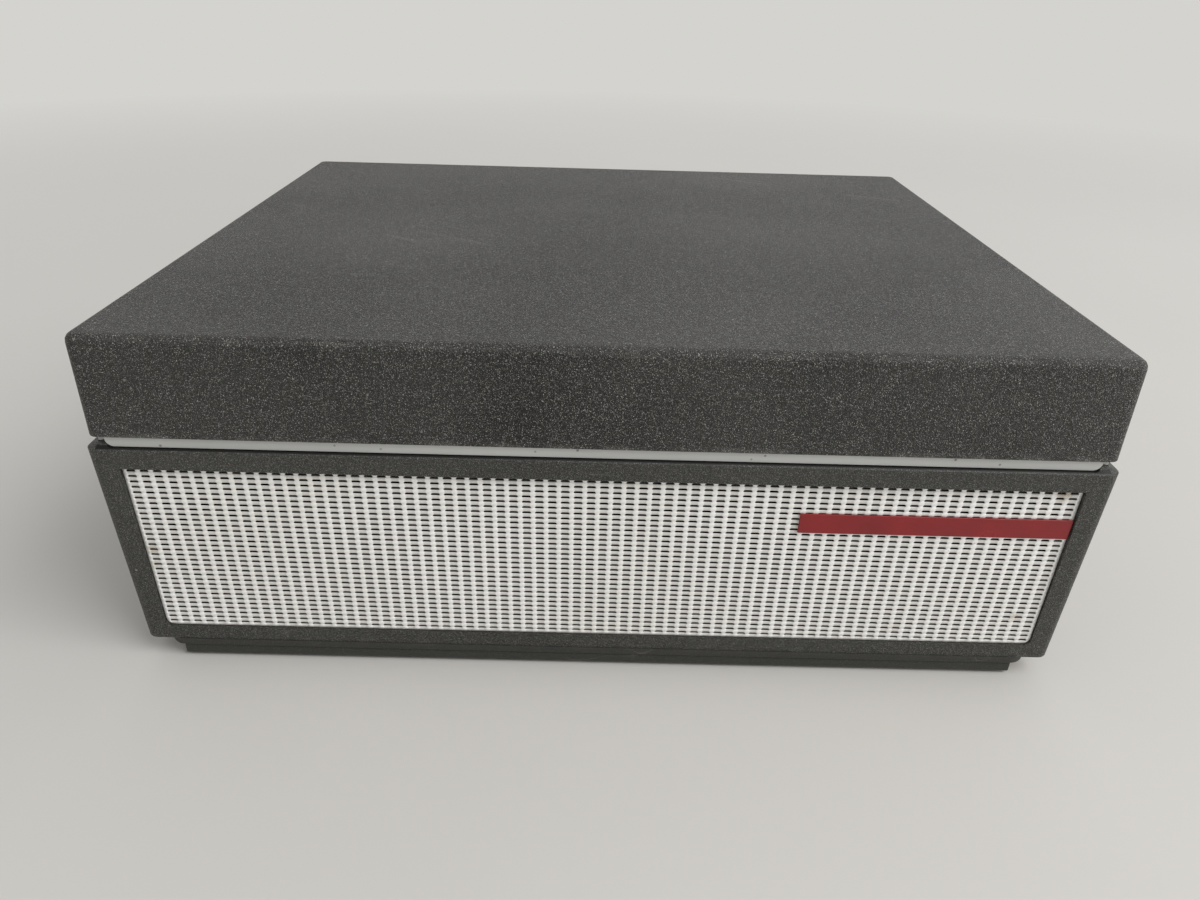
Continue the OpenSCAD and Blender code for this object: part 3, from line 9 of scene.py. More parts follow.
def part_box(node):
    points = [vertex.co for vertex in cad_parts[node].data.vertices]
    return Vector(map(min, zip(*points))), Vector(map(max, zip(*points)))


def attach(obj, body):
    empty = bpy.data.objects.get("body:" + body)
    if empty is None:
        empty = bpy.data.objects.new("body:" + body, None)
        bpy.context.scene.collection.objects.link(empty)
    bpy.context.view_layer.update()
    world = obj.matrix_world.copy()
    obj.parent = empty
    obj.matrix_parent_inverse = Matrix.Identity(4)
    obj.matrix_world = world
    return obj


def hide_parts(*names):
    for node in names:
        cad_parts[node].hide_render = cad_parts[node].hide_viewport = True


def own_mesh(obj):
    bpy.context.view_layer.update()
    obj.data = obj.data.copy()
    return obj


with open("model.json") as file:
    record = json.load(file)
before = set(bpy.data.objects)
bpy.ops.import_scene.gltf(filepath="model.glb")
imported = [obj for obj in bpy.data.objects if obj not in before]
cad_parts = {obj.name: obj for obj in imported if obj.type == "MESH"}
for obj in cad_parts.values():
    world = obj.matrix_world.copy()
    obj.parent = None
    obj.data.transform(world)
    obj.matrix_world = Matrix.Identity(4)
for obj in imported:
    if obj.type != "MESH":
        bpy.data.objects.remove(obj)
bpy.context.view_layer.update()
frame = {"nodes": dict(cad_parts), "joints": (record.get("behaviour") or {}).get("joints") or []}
mm = 0.001
scene = bpy.context.scene
scene.view_settings.view_transform = "Standard"


# The studio: a lens where the photograph was taken from, above the front and looking down at it.
# A wide pale sheet is the floor, and the light is a bright room with one broad window at the right.
photo_width = 1200
focal_pixels = 841.73
sensor_width = 36.0
camera_place = Vector((-4.18, -421.27, 255.77)) * mm
camera_turn = math.radians(0.454)
camera_tilt = math.radians(29.643)
camera_roll = math.radians(-1.652)
lens = bpy.data.cameras.new("photo_lens")
lens.sensor_width = sensor_width
lens.lens = focal_pixels / photo_width * sensor_width
camera = bpy.data.objects.new("photo_camera", lens)
camera.matrix_world = (
    Matrix.Translation(camera_place)
    @ Matrix.Rotation(-camera_turn, 4, "Z")
    @ Matrix.Rotation(math.pi / 2 - camera_tilt, 4, "X")
    @ Matrix.Rotation(-camera_roll, 4, "Z")
)
scene.collection.objects.link(camera)
scene.camera = camera


def tone(red, green, blue):
    """A colour as a screen shows it, 0 to 255, in the linear values that a shader takes."""
    shares = [value / 255 for value in (red, green, blue)]
    return tuple(s / 12.92 if s <= 0.04045 else ((s + 0.055) / 1.055) ** 2.4 for s in shares) + (1.0,)


def put(tree, kind, sockets, **settings):
    """Adds a shader node. Each socket gets a value, or the output that feeds it."""
    made = tree.nodes.new("ShaderNode" + kind)
    for name, value in settings.items():
        setattr(made, name, value)
    for socket, value in sockets.items():
        if isinstance(value, bpy.types.NodeSocket):
            tree.links.new(value, made.inputs[socket])
        else:
            made.inputs[socket].default_value = value
    return made


def calc(tree, operation, first, second=0.0):
    """The result of one sum on two values."""
    return put(tree, "Math", {0: first, 1: second}, operation=operation).outputs[0]


def span(tree, value, low, high, start=0.0, end=1.0):
    """Spreads a value from low..high over start..end, and holds it there."""
    limits = {"Value": value, "From Min": low, "From Max": high, "To Min": start, "To Max": end}
    return put(tree, "MapRange", limits).outputs["Result"]


def layered(tree, share, under, over):
    """The over colour on the under colour, by the share given."""
    return put(tree, "Mix", {0: share, 6: under, 7: over}, data_type="RGBA").outputs[2]


def coating(name, **plain):
    """A new material, its tree and its shader, whose plain values are named with _ for a space."""
    coat = bpy.data.materials.new(name)
    coat.use_nodes = True
    shader = coat.node_tree.nodes["Principled BSDF"]
    for socket, value in plain.items():
        shader.inputs[socket.replace("_", " ").title().replace("Ior", "IOR")].default_value = value
    return coat, coat.node_tree, shader


def feed(tree, shader, colour=None, rough=None, height=None, depth=0.0):
    """Joins what changes over the surface to the shader; depth is the height of the relief."""
    if colour is not None:
        tree.links.new(colour, shader.inputs["Base Color"])
    if rough is not None:
        tree.links.new(rough, shader.inputs["Roughness"])
    if height is not None:
        relief = put(tree, "Bump", {"Strength": 1.0, "Distance": depth, "Height": height})
        tree.links.new(relief.outputs["Normal"], shader.inputs["Normal"])


def effect(name, inputs, outputs):
    """An empty shader node group with named sockets, and its two ends."""
    group = bpy.data.node_groups.new(name, "ShaderNodeTree")
    for socket, value in inputs.items():
        kind = "NodeSocketVector" if isinstance(value, tuple) else "NodeSocketFloat"
        group.interface.new_socket(socket, in_out="INPUT", socket_type=kind).default_value = value
    for socket in outputs:
        group.interface.new_socket(socket, in_out="OUTPUT", socket_type="NodeSocketFloat")
    return group, group.nodes.new("NodeGroupInput"), group.nodes.new("NodeGroupOutput")


def use(tree, group, **values):
    """Places an effect in a material with its own values, and gives its outputs."""
    return put(tree, "Group", values, node_tree=group).outputs


# The room is brighter towards the window, and its far walls look as pale as the floor
window_side = Vector((0.75, 0.45, 0.2))
room_white = (1.0, 0.997, 0.99, 1.0)
dim_side = 0.31
bright_side = 0.88
far_pale = tone(212, 211, 207)
room_light = bpy.data.worlds.new("room_light")
room_light.use_nodes = True
tree = room_light.node_tree
way = put(tree, "TexCoord", {}).outputs["Generated"]
lean = put(tree, "VectorMath", {0: way, 1: window_side}, operation="DOT_PRODUCT").outputs["Value"]
brightness = span(tree, lean, -1.0, 1.0, dim_side, bright_side)
lit = put(tree, "Background", {"Color": room_white, "Strength": brightness})
seen = put(tree, "Background", {"Color": far_pale, "Strength": 1.0})
to_lens = put(tree, "LightPath", {}).outputs["Is Camera Ray"]
both = put(tree, "MixShader", {0: to_lens, 1: lit.outputs[0], 2: seen.outputs[0]})
tree.links.new(both.outputs[0], tree.nodes["World Output"].inputs["Surface"])
scene.world = room_light

window_light = bpy.data.lights.new("window_light", "AREA")
window_light.energy = 37.5
window_light.size = 1.5
window_light.color = (1.0, 0.99, 0.975)
window_lamp = bpy.data.objects.new("window_lamp", window_light)
window_lamp.location = (1.5, -0.95, 1.9)
window_lamp.rotation_euler = window_lamp.location.to_track_quat("Z", "Y").to_euler()
window_lamp.visible_camera = False
scene.collection.objects.link(window_lamp)

# Broad clouds and a fine mottle, for surfaces that are never quite one shade
mottle_to_clouds = 40.0
uneven_shade, taken, given = effect("uneven_shade", {"Scale": 15.0}, ["Clouds", "Mottle"])
spot = put(uneven_shade, "TexCoord", {}).outputs["Object"]
clouds = put(uneven_shade, "TexNoise", {"Vector": spot, "Scale": taken.outputs["Scale"], "Detail": 4.0})
fine_scale = calc(uneven_shade, "MULTIPLY", taken.outputs["Scale"], mottle_to_clouds)
mottle = put(uneven_shade, "TexNoise", {"Vector": spot, "Scale": fine_scale, "Detail": 2.0})
uneven_shade.links.new(clouds.outputs[0], given.inputs["Clouds"])
uneven_shade.links.new(mottle.outputs[0], given.inputs["Mottle"])

# The floor is matt, and far off it takes the shade of the far walls, as the lens sees it
floor_radius = 9.0
fade_from = 0.4
fade_to = 1.8
floor_form = bmesh.new()
bmesh.ops.create_circle(floor_form, cap_ends=True, segments=96, radius=floor_radius)
floor_mesh = bpy.data.meshes.new("pale_floor")
floor_form.to_mesh(floor_mesh)
floor_form.free()
floor = bpy.data.objects.new("pale_floor", floor_mesh)
scene.collection.objects.link(floor)
floor_paint, tree, shader = coating("floor_paint", roughness=0.6)
shade = use(tree, uneven_shade, Scale=1.5)
pales = layered(tree, span(tree, shade["Clouds"], 0.35, 0.65), tone(203, 201, 197), tone(208, 206, 202))
feed(tree, shader, pales)
spot = put(tree, "TexCoord", {}).outputs["Object"]
distance = put(tree, "VectorMath", {0: spot}, operation="LENGTH").outputs["Value"]
to_lens = put(tree, "LightPath", {}).outputs["Is Camera Ray"]
faded = calc(tree, "MULTIPLY", span(tree, distance, fade_from, fade_to), to_lens)
far_floor = put(tree, "Emission", {"Color": far_pale, "Strength": 1.0}).outputs[0]
both = put(tree, "MixShader", {0: faded, 1: shader.outputs[0], 2: far_floor})
tree.links.new(both.outputs[0], tree.nodes["Material Output"].inputs["Surface"])
floor_mesh.materials.append(floor_paint)


# The body: one moulding of dark thermoplastic, open at the top, with a fine pebbled skin.
# Its front is a frame round the grille, and its upper corners stand up as horns beside the deck.
def vector_sum(tree, operation, first, second):
    """The vector that one sum on two vectors gives."""
    return put(tree, "VectorMath", {0: first, 1: second}, operation=operation).outputs["Vector"]


# The pebbled skin: pebbles with grit on them, and masks for painted glints on some of their tips and along
# short ridges
moulded_grain, taken, given = effect("moulded_grain", {"Scale": 900.0}, ["Height", "Glints"])
spot = put(moulded_grain, "TexCoord", {}).outputs["Object"]
stir_scale = calc(moulded_grain, "MULTIPLY", taken.outputs["Scale"], 0.7)
stir = put(moulded_grain, "TexNoise", {"Vector": spot, "Scale": stir_scale, "Detail": 1.0}).outputs["Color"]
stir_reach = calc(moulded_grain, "DIVIDE", 0.9, taken.outputs["Scale"])
stirred = put(moulded_grain, "VectorMath", {0: stir, "Scale": stir_reach}, operation="SCALE").outputs[0]
swayed = vector_sum(moulded_grain, "ADD", spot, stirred)
pebbles = put(
    moulded_grain, "TexVoronoi",
    {"Vector": swayed, "Scale": taken.outputs["Scale"], "Smoothness": 0.45}, feature="SMOOTH_F1",
).outputs["Distance"]
grit_scale = calc(moulded_grain, "MULTIPLY", taken.outputs["Scale"], 2.6)
grit = put(moulded_grain, "TexNoise", {"Vector": spot, "Scale": grit_scale, "Detail": 1.0}).outputs[0]
rounded = span(moulded_grain, pebbles, 0.75, 0.05)
grain_height = calc(moulded_grain, "ADD", rounded, calc(moulded_grain, "MULTIPLY", grit, 0.35))
moulded_grain.links.new(grain_height, given.inputs["Height"])
pebble_cells = put(moulded_grain, "TexVoronoi", {"Vector": swayed, "Scale": taken.outputs["Scale"]})
pebble_luck = put(moulded_grain, "SeparateColor", {0: pebble_cells.outputs["Color"]}).outputs[0]
tips = span(moulded_grain, pebble_cells.outputs["Distance"], 0.4, 0.15)
round_glints = calc(moulded_grain, "MULTIPLY", tips, span(moulded_grain, pebble_luck, 0.66, 1.0))
ridge_scale = calc(moulded_grain, "MULTIPLY", taken.outputs["Scale"], 1.5)
ridges = put(
    moulded_grain, "TexNoise", {"Vector": spot, "Scale": ridge_scale, "Detail": 1.0, "Distortion": 1.2},
).outputs[0]
glints = calc(moulded_grain, "MAXIMUM", round_glints, span(moulded_grain, ridges, 0.62, 0.74))
moulded_grain.links.new(glints, given.inputs["Glints"])

# Loose specks that lie on a surface, in some of the cells of a scattered pattern
settled_dust, taken, given = effect("settled_dust", {"Scale": 220.0, "Share": 0.1}, ["Specks"])
spot = put(settled_dust, "TexCoord", {}).outputs["Object"]
cells = put(settled_dust, "TexVoronoi", {"Vector": spot, "Scale": taken.outputs["Scale"]})
luck = put(settled_dust, "SeparateColor", {0: cells.outputs["Color"]}).outputs[0]
lucky = calc(settled_dust, "LESS_THAN", luck, taken.outputs["Share"])
speck = span(settled_dust, cells.outputs["Distance"], 0.13, 0.07)
settled_dust.links.new(calc(settled_dust, "MULTIPLY", speck, lucky), given.inputs["Specks"])

# Long thin lines where something has been drawn over a surface
fine_scratches, taken, given = effect("fine_scratches", {"Stretch": (1.2, 70.0, 70.0)}, ["Lines"])
spot = put(fine_scratches, "TexCoord", {}).outputs["Object"]
turned = put(fine_scratches, "VectorRotate", {"Vector": spot, "Angle": 0.5}, rotation_type="Z_AXIS")
drawn = vector_sum(fine_scratches, "MULTIPLY", turned.outputs[0], taken.outputs["Stretch"])
waves = put(fine_scratches, "TexNoise", {"Vector": drawn, "Scale": 1.0, "Detail": 1.0}).outputs[0]
off_line = calc(fine_scratches, "ABSOLUTE", calc(fine_scratches, "SUBTRACT", waves, 0.5))
bare = put(fine_scratches, "TexNoise", {"Vector": spot, "Scale": 22.0, "Detail": 1.0}).outputs[0]
kept = span(fine_scratches, bare, 0.56, 0.62)
line = calc(fine_scratches, "MULTIPLY", span(fine_scratches, off_line, 0.005, 0.002), kept)
fine_scratches.links.new(line, given.inputs["Lines"])


def depths_in_box(group, spot, ends):
    """How deep a spot lies inside a box, from its nearer side, along each of the three axes."""
    from_low = vector_sum(group, "SUBTRACT", spot, ends.outputs["Low"])
    from_high = vector_sum(group, "SUBTRACT", ends.outputs["High"], spot)
    return put(group, "SeparateXYZ", {0: vector_sum(group, "MINIMUM", from_low, from_high)}).outputs


# Rubbed edges in patches along the outer edges of a piece, where two faces of its box are near, which take
# painted glints
box_ends = {"Low": (0.0, 0.0, 0.0), "High": (0.0, 0.0, 0.0)}
rubbed_edge_glints, taken, given = effect("rubbed_edge_glints", {**box_ends, "Reach": 0.002}, ["Rubbed"])
spot = put(rubbed_edge_glints, "TexCoord", {}).outputs["Object"]
in_x, in_y, in_z = depths_in_box(rubbed_edge_glints, spot, taken)
closer = calc(rubbed_edge_glints, "MINIMUM", in_x, in_y)
further = calc(rubbed_edge_glints, "MAXIMUM", in_x, in_y)
to_edge = calc(rubbed_edge_glints, "MAXIMUM", closer, calc(rubbed_edge_glints, "MINIMUM", further, in_z))
at_edge = span(rubbed_edge_glints, calc(rubbed_edge_glints, "DIVIDE", to_edge, taken.outputs["Reach"]), 1.0, 0.2)
patches = put(rubbed_edge_glints, "TexNoise", {"Vector": spot, "Scale": 90.0, "Detail": 6.0}).outputs[0]
rubbed_and_glinting = calc(rubbed_edge_glints, "MULTIPLY", at_edge, span(rubbed_edge_glints, patches, 0.42, 0.62))
rubbed_edge_glints.links.new(rubbed_and_glinting, given.inputs["Rubbed"])

# Painted shade in a groove: dark inside a box that gives the groove's place, fading at its sides
groove_shade_fade = 0.15 * mm
painted_groove_shade, taken, given = effect("painted_groove_shade", box_ends, ["Grime"])
spot = put(painted_groove_shade, "TexCoord", {}).outputs["Object"]
in_x, in_y, in_z = depths_in_box(painted_groove_shade, spot, taken)
inside = calc(painted_groove_shade, "MINIMUM", calc(painted_groove_shade, "MINIMUM", in_x, in_y), in_z)
painted_groove_shade.links.new(span(painted_groove_shade, inside, 0.0, groove_shade_fade), given.inputs["Grime"])

rubbed_glint_reach = 2.6 * mm
scratch_grey = tone(150, 146, 138)
dust_grey = tone(168, 163, 152)
groove_shade_black = tone(12, 12, 11)


def grained_plastic(name, node, hollow_shade, colour, glint_colour, pebbles, depth, dust, gloss, groove=None):
    """Moulded plastic with a pebbled skin: hollows darkened as painted shade, tips and rubbed edges lit as
    painted glints, scratches and dust.

    There are so many pebbles to a metre, of the depth given. A groove is a box that is painted dark as shade.
    """
    coat, tree, shader = coating(name, specular_ior_level=0.4)
    low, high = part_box(node)
    # The rubbed edges are wear, and they also carry highlights painted along the rounded edges
    worn = use(tree, rubbed_edge_glints, Low=low, High=high, Reach=rubbed_glint_reach)["Rubbed"]
    shade = use(tree, uneven_shade, Scale=9.0)
    grain = use(tree, moulded_grain, Scale=pebbles)
    specks = use(tree, settled_dust, Scale=190.0, Share=dust)["Specks"]
    lines = use(tree, fine_scratches)["Lines"]
    # The hollows of the grain are darkened with the hollow colour as painted shade
    pressed = layered(tree, span(tree, grain["Height"], 0.55, 1.0), hollow_shade, colour)
    cloudy = layered(tree, span(tree, shade["Clouds"], 0.35, 0.65, 0.0, 0.05), pressed, glint_colour)
    edge_glints = calc(tree, "MULTIPLY", worn, span(tree, grain["Height"], 0.8, 1.1, 0.1, 0.9))
    glints = calc(tree, "MAXIMUM", grain["Glints"], edge_glints)
    # Painted highlights: the glint colour laid on lucky pebble tips, ridges and rubbed edges
    tipped = layered(tree, glints, cloudy, glint_colour)
    scratched = layered(tree, calc(tree, "MULTIPLY", lines, 0.12), tipped, scratch_grey)
    skin = layered(tree, calc(tree, "MULTIPLY", specks, 0.45), scratched, dust_grey)
    if groove:
        groove_shade = use(tree, painted_groove_shade, Low=groove[0], High=groove[1])["Grime"]
        # The groove is painted near-black as shade
        skin = layered(tree, groove_shade, skin, groove_shade_black)
    rough = span(tree, glints, 0.0, 0.8, gloss + 0.12, gloss - 0.08)
    feed(tree, shader, skin, rough, grain["Height"], depth)
    return coat


def dress(node, coat, edge=0.3 * mm, steps=2):
    """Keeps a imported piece, breaks its edges as a made one's are, and gives it its finish."""
    piece = frame["nodes"][node]
    piece.data.shade_smooth()
    piece.data.materials.clear()
    piece.data.materials.append(coat)
    joined = piece.modifiers.new("joined_faces", "WELD")
    joined.merge_threshold = 0.002 * mm
    flat = piece.modifiers.new("flat_faces", "DECIMATE")
    flat.decimate_type = "DISSOLVE"
    flat.angle_limit = math.radians(0.4)
    broken = piece.modifiers.new("broken_edges", "BEVEL")
    broken.width = edge
    broken.segments = steps
    broken.limit_method = "ANGLE"
    broken.angle_limit = math.radians(42)
    piece.modifiers.new("even_shading", "WEIGHTED_NORMAL").keep_sharp = True


# Painted shade darkens the ledge that runs along under the deck's turned-down front edge
ledge_lip = 0.3 * mm
ledge_reach = 0.6 * mm
behind_strip = 0.5 * mm
strip_low, strip_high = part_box("deck_plate")
body_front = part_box("body_shell")[0].y
ledge_low = Vector((strip_low.x, body_front + ledge_lip, strip_low.z - ledge_reach))
ledge_high = Vector((strip_high.x, strip_low.y + behind_strip, strip_low.z + ledge_reach))
case_skin = grained_plastic(
    "case_skin", "body_shell", hollow_shade=tone(38, 38, 35), colour=tone(86, 86, 82), glint_colour=tone(140, 140, 134),
    pebbles=2000.0, depth=0.1 * mm, dust=0.03, gloss=0.42, groove=(ledge_low, ledge_high),
)
dress("body_shell", case_skin, 0.6 * mm, 3)


# The bottom: a smooth cover of the same plastic with runners for the handle, held by slotted screws.
# Soft pale feet are pressed into it, and four like studs stand on the back.
cover_skin = grained_plastic(
    "cover_skin", "bottom_cover", hollow_shade=tone(48, 48, 45), colour=tone(60, 60, 56), glint_colour=tone(82, 82, 78),
    pebbles=2200.0, depth=0.05 * mm, dust=0.05, gloss=0.48,
)
dress("bottom_cover", cover_skin, 0.4 * mm)
dust_pale = tone(170, 165, 155)


def plain_plastic(name, colour, worn, gloss, dust=0.04):
    """Smooth moulded plastic or rubber: faint flow marks, a handled sheen and a little dust."""
    coat, tree, shader = coating(name)
    shade = use(tree, uneven_shade, Scale=28.0)
    specks = use(tree, settled_dust, Scale=260.0, Share=dust)["Specks"]
    lines = use(tree, fine_scratches, Stretch=(12.0, 150.0, 90.0))["Lines"]
    cloudy = layered(tree, span(tree, shade["Clouds"], 0.35, 0.7), colour, worn)
    marked = layered(tree, calc(tree, "MULTIPLY", lines, 0.3), cloudy, worn)
    dusty = layered(tree, calc(tree, "MULTIPLY", specks, 0.35), marked, dust_pale)
    rough = span(tree, shade["Clouds"], 0.3, 0.7, gloss, gloss + 0.15)
    feed(tree, shader, dusty, rough, shade["Mottle"], 0.02 * mm)
    return coat


foot_rubber = plain_plastic("foot_rubber", tone(232, 227, 214), tone(212, 204, 188), 0.5)
dress("feet", foot_rubber, 0.9 * mm, 3)

# The lines along the grain of rolled, drawn or brushed metal
drawn_lines, taken, given = effect("drawn_lines", {"Stretch": (12.0, 1800.0, 12.0)}, ["Lines"])
spot = put(drawn_lines, "TexCoord", {}).outputs["Object"]
drawn = vector_sum(drawn_lines, "MULTIPLY", spot, taken.outputs["Stretch"])
streaks = put(drawn_lines, "TexNoise", {"Vector": drawn, "Scale": 1.0, "Detail": 3.0}).outputs[0]
drawn_lines.links.new(streaks, given.inputs["Lines"])


def bare_metal(name, colour, tarnish, gloss, stretch=(300.0, 300.0, 300.0)):
    """Unpainted metal with the lines of its making, and tarnish in clouds."""
    coat, tree, shader = coating(name, metallic=1.0)
    shade = use(tree, uneven_shade, Scale=40.0)
    lines = use(tree, drawn_lines, Stretch=stretch)["Lines"]
    clouded = layered(tree, span(tree, shade["Clouds"], 0.4, 0.75), colour, tarnish)
    streaked = layered(tree, span(tree, lines, 0.3, 0.7, 0.0, 0.35), clouded, tarnish)
    rough = span(tree, lines, 0.3, 0.7, gloss, gloss + 0.15)
    feed(tree, shader, streaked, rough, lines, 0.008 * mm)
    return coat


plated_steel = bare_metal("plated_steel", tone(196, 196, 192), tone(150, 148, 142), 0.28)


def piece_of(form, name, coat, body, slot, *stands_for):
    """Turns a built form into a piece that rides on a body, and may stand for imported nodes."""
    bmesh.ops.recalc_face_normals(form, faces=form.faces)
    mesh = bpy.data.meshes.new(name)
    form.to_mesh(mesh)
    form.free()
    mesh.materials.append(coat)
    piece = bpy.data.objects.new(name, mesh)
    scene.collection.objects.link(piece)
    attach(piece, body)
    if stands_for:
        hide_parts(*stands_for)
    return piece


def turned_form(form, profile, place, segments):
    """Adds a solid of revolution: profile holds (radius, height) from the foot to the top, place moves it."""
    rings = []
    for radius, height in profile:
        angles = [2 * math.pi * i / segments for i in range(segments)]
        points = [Vector((radius * math.cos(a), radius * math.sin(a), height)) for a in angles]
        rings.append([form.verts.new(place @ point) for point in points])
    for lower, upper in zip(rings, rings[1:]):
        for i in range(segments):
            j = (i + 1) % segments
            form.faces.new((lower[i], lower[j], upper[j], upper[i]))
    form.faces.new(list(reversed(rings[0])))
    form.faces.new(rings[-1])


def prism(form, outline, low, high, place):
    """Adds an upright solid on a flat outline of (x, y) points, between two heights."""
    foot = [form.verts.new(place @ Vector((x, y, low))) for x, y in outline]
    top = [form.verts.new(place @ Vector((x, y, high))) for x, y in outline]
    count = len(outline)
    form.faces.new(list(reversed(foot)))
    form.faces.new(top)
    for i in range(count):
        j = (i + 1) % count
        form.faces.new((foot[i], foot[j], top[j], top[i]))


screw_radius = 3.5 * mm
screw_height = 1.6 * mm
screw_edge = 0.35 * mm
screw_segments = 28
driver_slot = 1.0 * mm
driver_depth = 0.7 * mm
moon_steps = 14


def slotted_head(form, place):
    """Adds a screw's cheese head: a round disc under two half moons, with the driver's slot between them."""
    slot_floor = screw_height - driver_depth
    top_radius = screw_radius - screw_edge
    disc = [(top_radius, 0), (screw_radius, screw_edge), (screw_radius, slot_floor)]
    turned_form(form, disc, place, screw_segments)
    reach = math.acos(driver_slot / 2 / top_radius)
    for side in (0, math.pi):
        angles = [side - reach + 2 * reach * i / moon_steps for i in range(moon_steps + 1)]
        moon = [(top_radius * math.cos(angle), top_radius * math.sin(angle)) for angle in angles]
        prism(form, moon, slot_floor, screw_height, place)


# Four screws hold the deck from above and six the cover from below, each driven to another angle
screw_low, screw_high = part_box("screws")
deck_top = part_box("deck_plate")[1].z
deck_screw_side = 176 * mm
deck_screw_front = -64.1 * mm
deck_screw_back = screw_high.y - screw_radius
cover_under = screw_low.z + screw_height
cover_screw_side = 175 * mm
cover_screw_middle = -4.1 * mm
cover_screw_pitch = 95 * mm
screw_turn = math.radians(37)
screw_spots = []
for side in (-1, 1):
    for depth in (deck_screw_back, deck_screw_front):
        screw_spots.append(Matrix.Translation((side * deck_screw_side, depth, deck_top)))
    for row in (-1, 0, 1):
        depth = cover_screw_middle + row * cover_screw_pitch
        under = Matrix.Translation((side * cover_screw_side, depth, cover_under))
        screw_spots.append(under @ Matrix.Rotation(math.pi, 4, "X"))
screw_form = bmesh.new()
for i, place in enumerate(screw_spots):
    slotted_head(screw_form, place @ Matrix.Rotation(screw_turn * i, 4, "Z"))
piece_of(screw_form, "slotted_screws", plated_steel, "case_body", "steel", "screws")


# The carrying handle: a dark plastic bar under the front edge, on the ends of two flat steel arms.
# The arms run in the cover's runners, so that the bar pulls out, and hands have rubbed its edges.
grip_skin = grained_plastic(
    "grip_skin", "handle_grip", hollow_shade=tone(48, 49, 45), colour=tone(60, 61, 57), glint_colour=tone(80, 80, 75),
    pebbles=1700.0, depth=0.05 * mm, dust=0.03, gloss=0.42,
)
dress("handle_grip", grip_skin, 0.5 * mm)
dress("handle_arms", plated_steel, 0.4 * mm)


# The grille: a sheet of white enamelled metal behind the body's front frame, punched with short slots.
# The strips between the slots are pressed to a shallow curve, and are greyed there as painted shade.
# The bars beside the slots stay flat and keep the full white.
grille_low, grille_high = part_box("front_grille")
slot_columns = 73
slot_rows = 31
slot_length = 3.25 * mm
slot_height = 0.82 * mm
slot_ease = 0.55 * mm
end_column = 175.5 * mm
bottom_row = 18.6 * mm
top_row = 90.6 * mm
strip_bulge = 0.32 * mm
strip_stops = (0.22, 0.5, 0.78)
sheet_gauge = 0.5 * mm
corner_radius = 3 * mm
column_pitch = 2 * end_column / (slot_columns - 1)
row_pitch = (top_row - bottom_row) / (slot_rows - 1)

# Each stop across the sheet has its place, how far the strip is pressed in, and whether a slot follows it.
# Each stop up the sheet has its place, how far the strip stands out again there, and the same.
across = [(grille_low.x, 0.0, False)]
for column in range(slot_columns):
    middle = -end_column + column * column_pitch
    half = slot_length / 2
    across += [(middle - half, 0.0, True), (middle - half + slot_ease, 1.0, True)]
    across += [(middle + half - slot_ease, 1.0, True), (middle + half, 0.0, False)]
across.append((grille_high.x, 0.0, False))
upward = [(grille_low.z, 1.0, False)]
for row in range(slot_rows):
    middle = bottom_row + row * row_pitch
    top = middle + slot_height / 2
    upward += [(middle - slot_height / 2, 0.0, True), (top, 0.0, False)]
    if row < slot_rows - 1:
        strip = row_pitch - slot_height
        upward += [(top + strip * part, math.sin(math.pi * part), False) for part in strip_stops]
upward.append((grille_high.z, 1.0, False))


def in_round_corner(x, z):
    """Moves a point of the sheet inside its round lower corners."""
    inner_x = grille_high.x - corner_radius
    inner_z = grille_low.z + corner_radius
    off_x = abs(x) - inner_x
    off_z = inner_z - z
    reach = math.hypot(off_x, off_z)
    if off_x <= 0 or off_z <= 0 or reach <= corner_radius:
        return x, z
    shrink = corner_radius / reach
    return math.copysign(inner_x + off_x * shrink, x), inner_z - off_z * shrink


sheet_form = bmesh.new()
pressed = sheet_form.verts.layers.float.new("pressed")
net = []
for z, lift, _ in upward:
    line = []
    for x, press, _ in across:
        flat_x, flat_z = in_round_corner(x, z)
        point = sheet_form.verts.new((flat_x, grille_low.y + strip_bulge * press * (1 - lift), flat_z))
        point[pressed] = press
        line.append(point)
    net.append(line)
for row in range(len(upward) - 1):
    for column in range(len(across) - 1):
        if not (upward[row][2] and across[column][2]):
            corners = (net[row][column], net[row][column + 1], net[row + 1][column + 1], net[row + 1][column])
            sheet_form.faces.new(corners)

grille_enamel, tree, shader = coating("grille_enamel", roughness=0.38, coat_weight=0.15)
shade = use(tree, uneven_shade, Scale=22.0)
specks = use(tree, settled_dust, Scale=320.0, Share=0.05)["Specks"]
whites = layered(tree, span(tree, shade["Clouds"], 0.35, 0.7), tone(250, 249, 247), tone(242, 241, 236))
# The pressed-in strips are greyed as painted shade, and the flat bars are left white
strip_shade = span(tree, put(tree, "Attribute", {}, attribute_name="pressed").outputs["Fac"], 0.0, 1.0, 0.0, 0.75)
strip_shaded = layered(tree, strip_shade, whites, tone(206, 204, 199))
stained = layered(tree, calc(tree, "MULTIPLY", specks, 0.5), strip_shaded, tone(120, 116, 108))

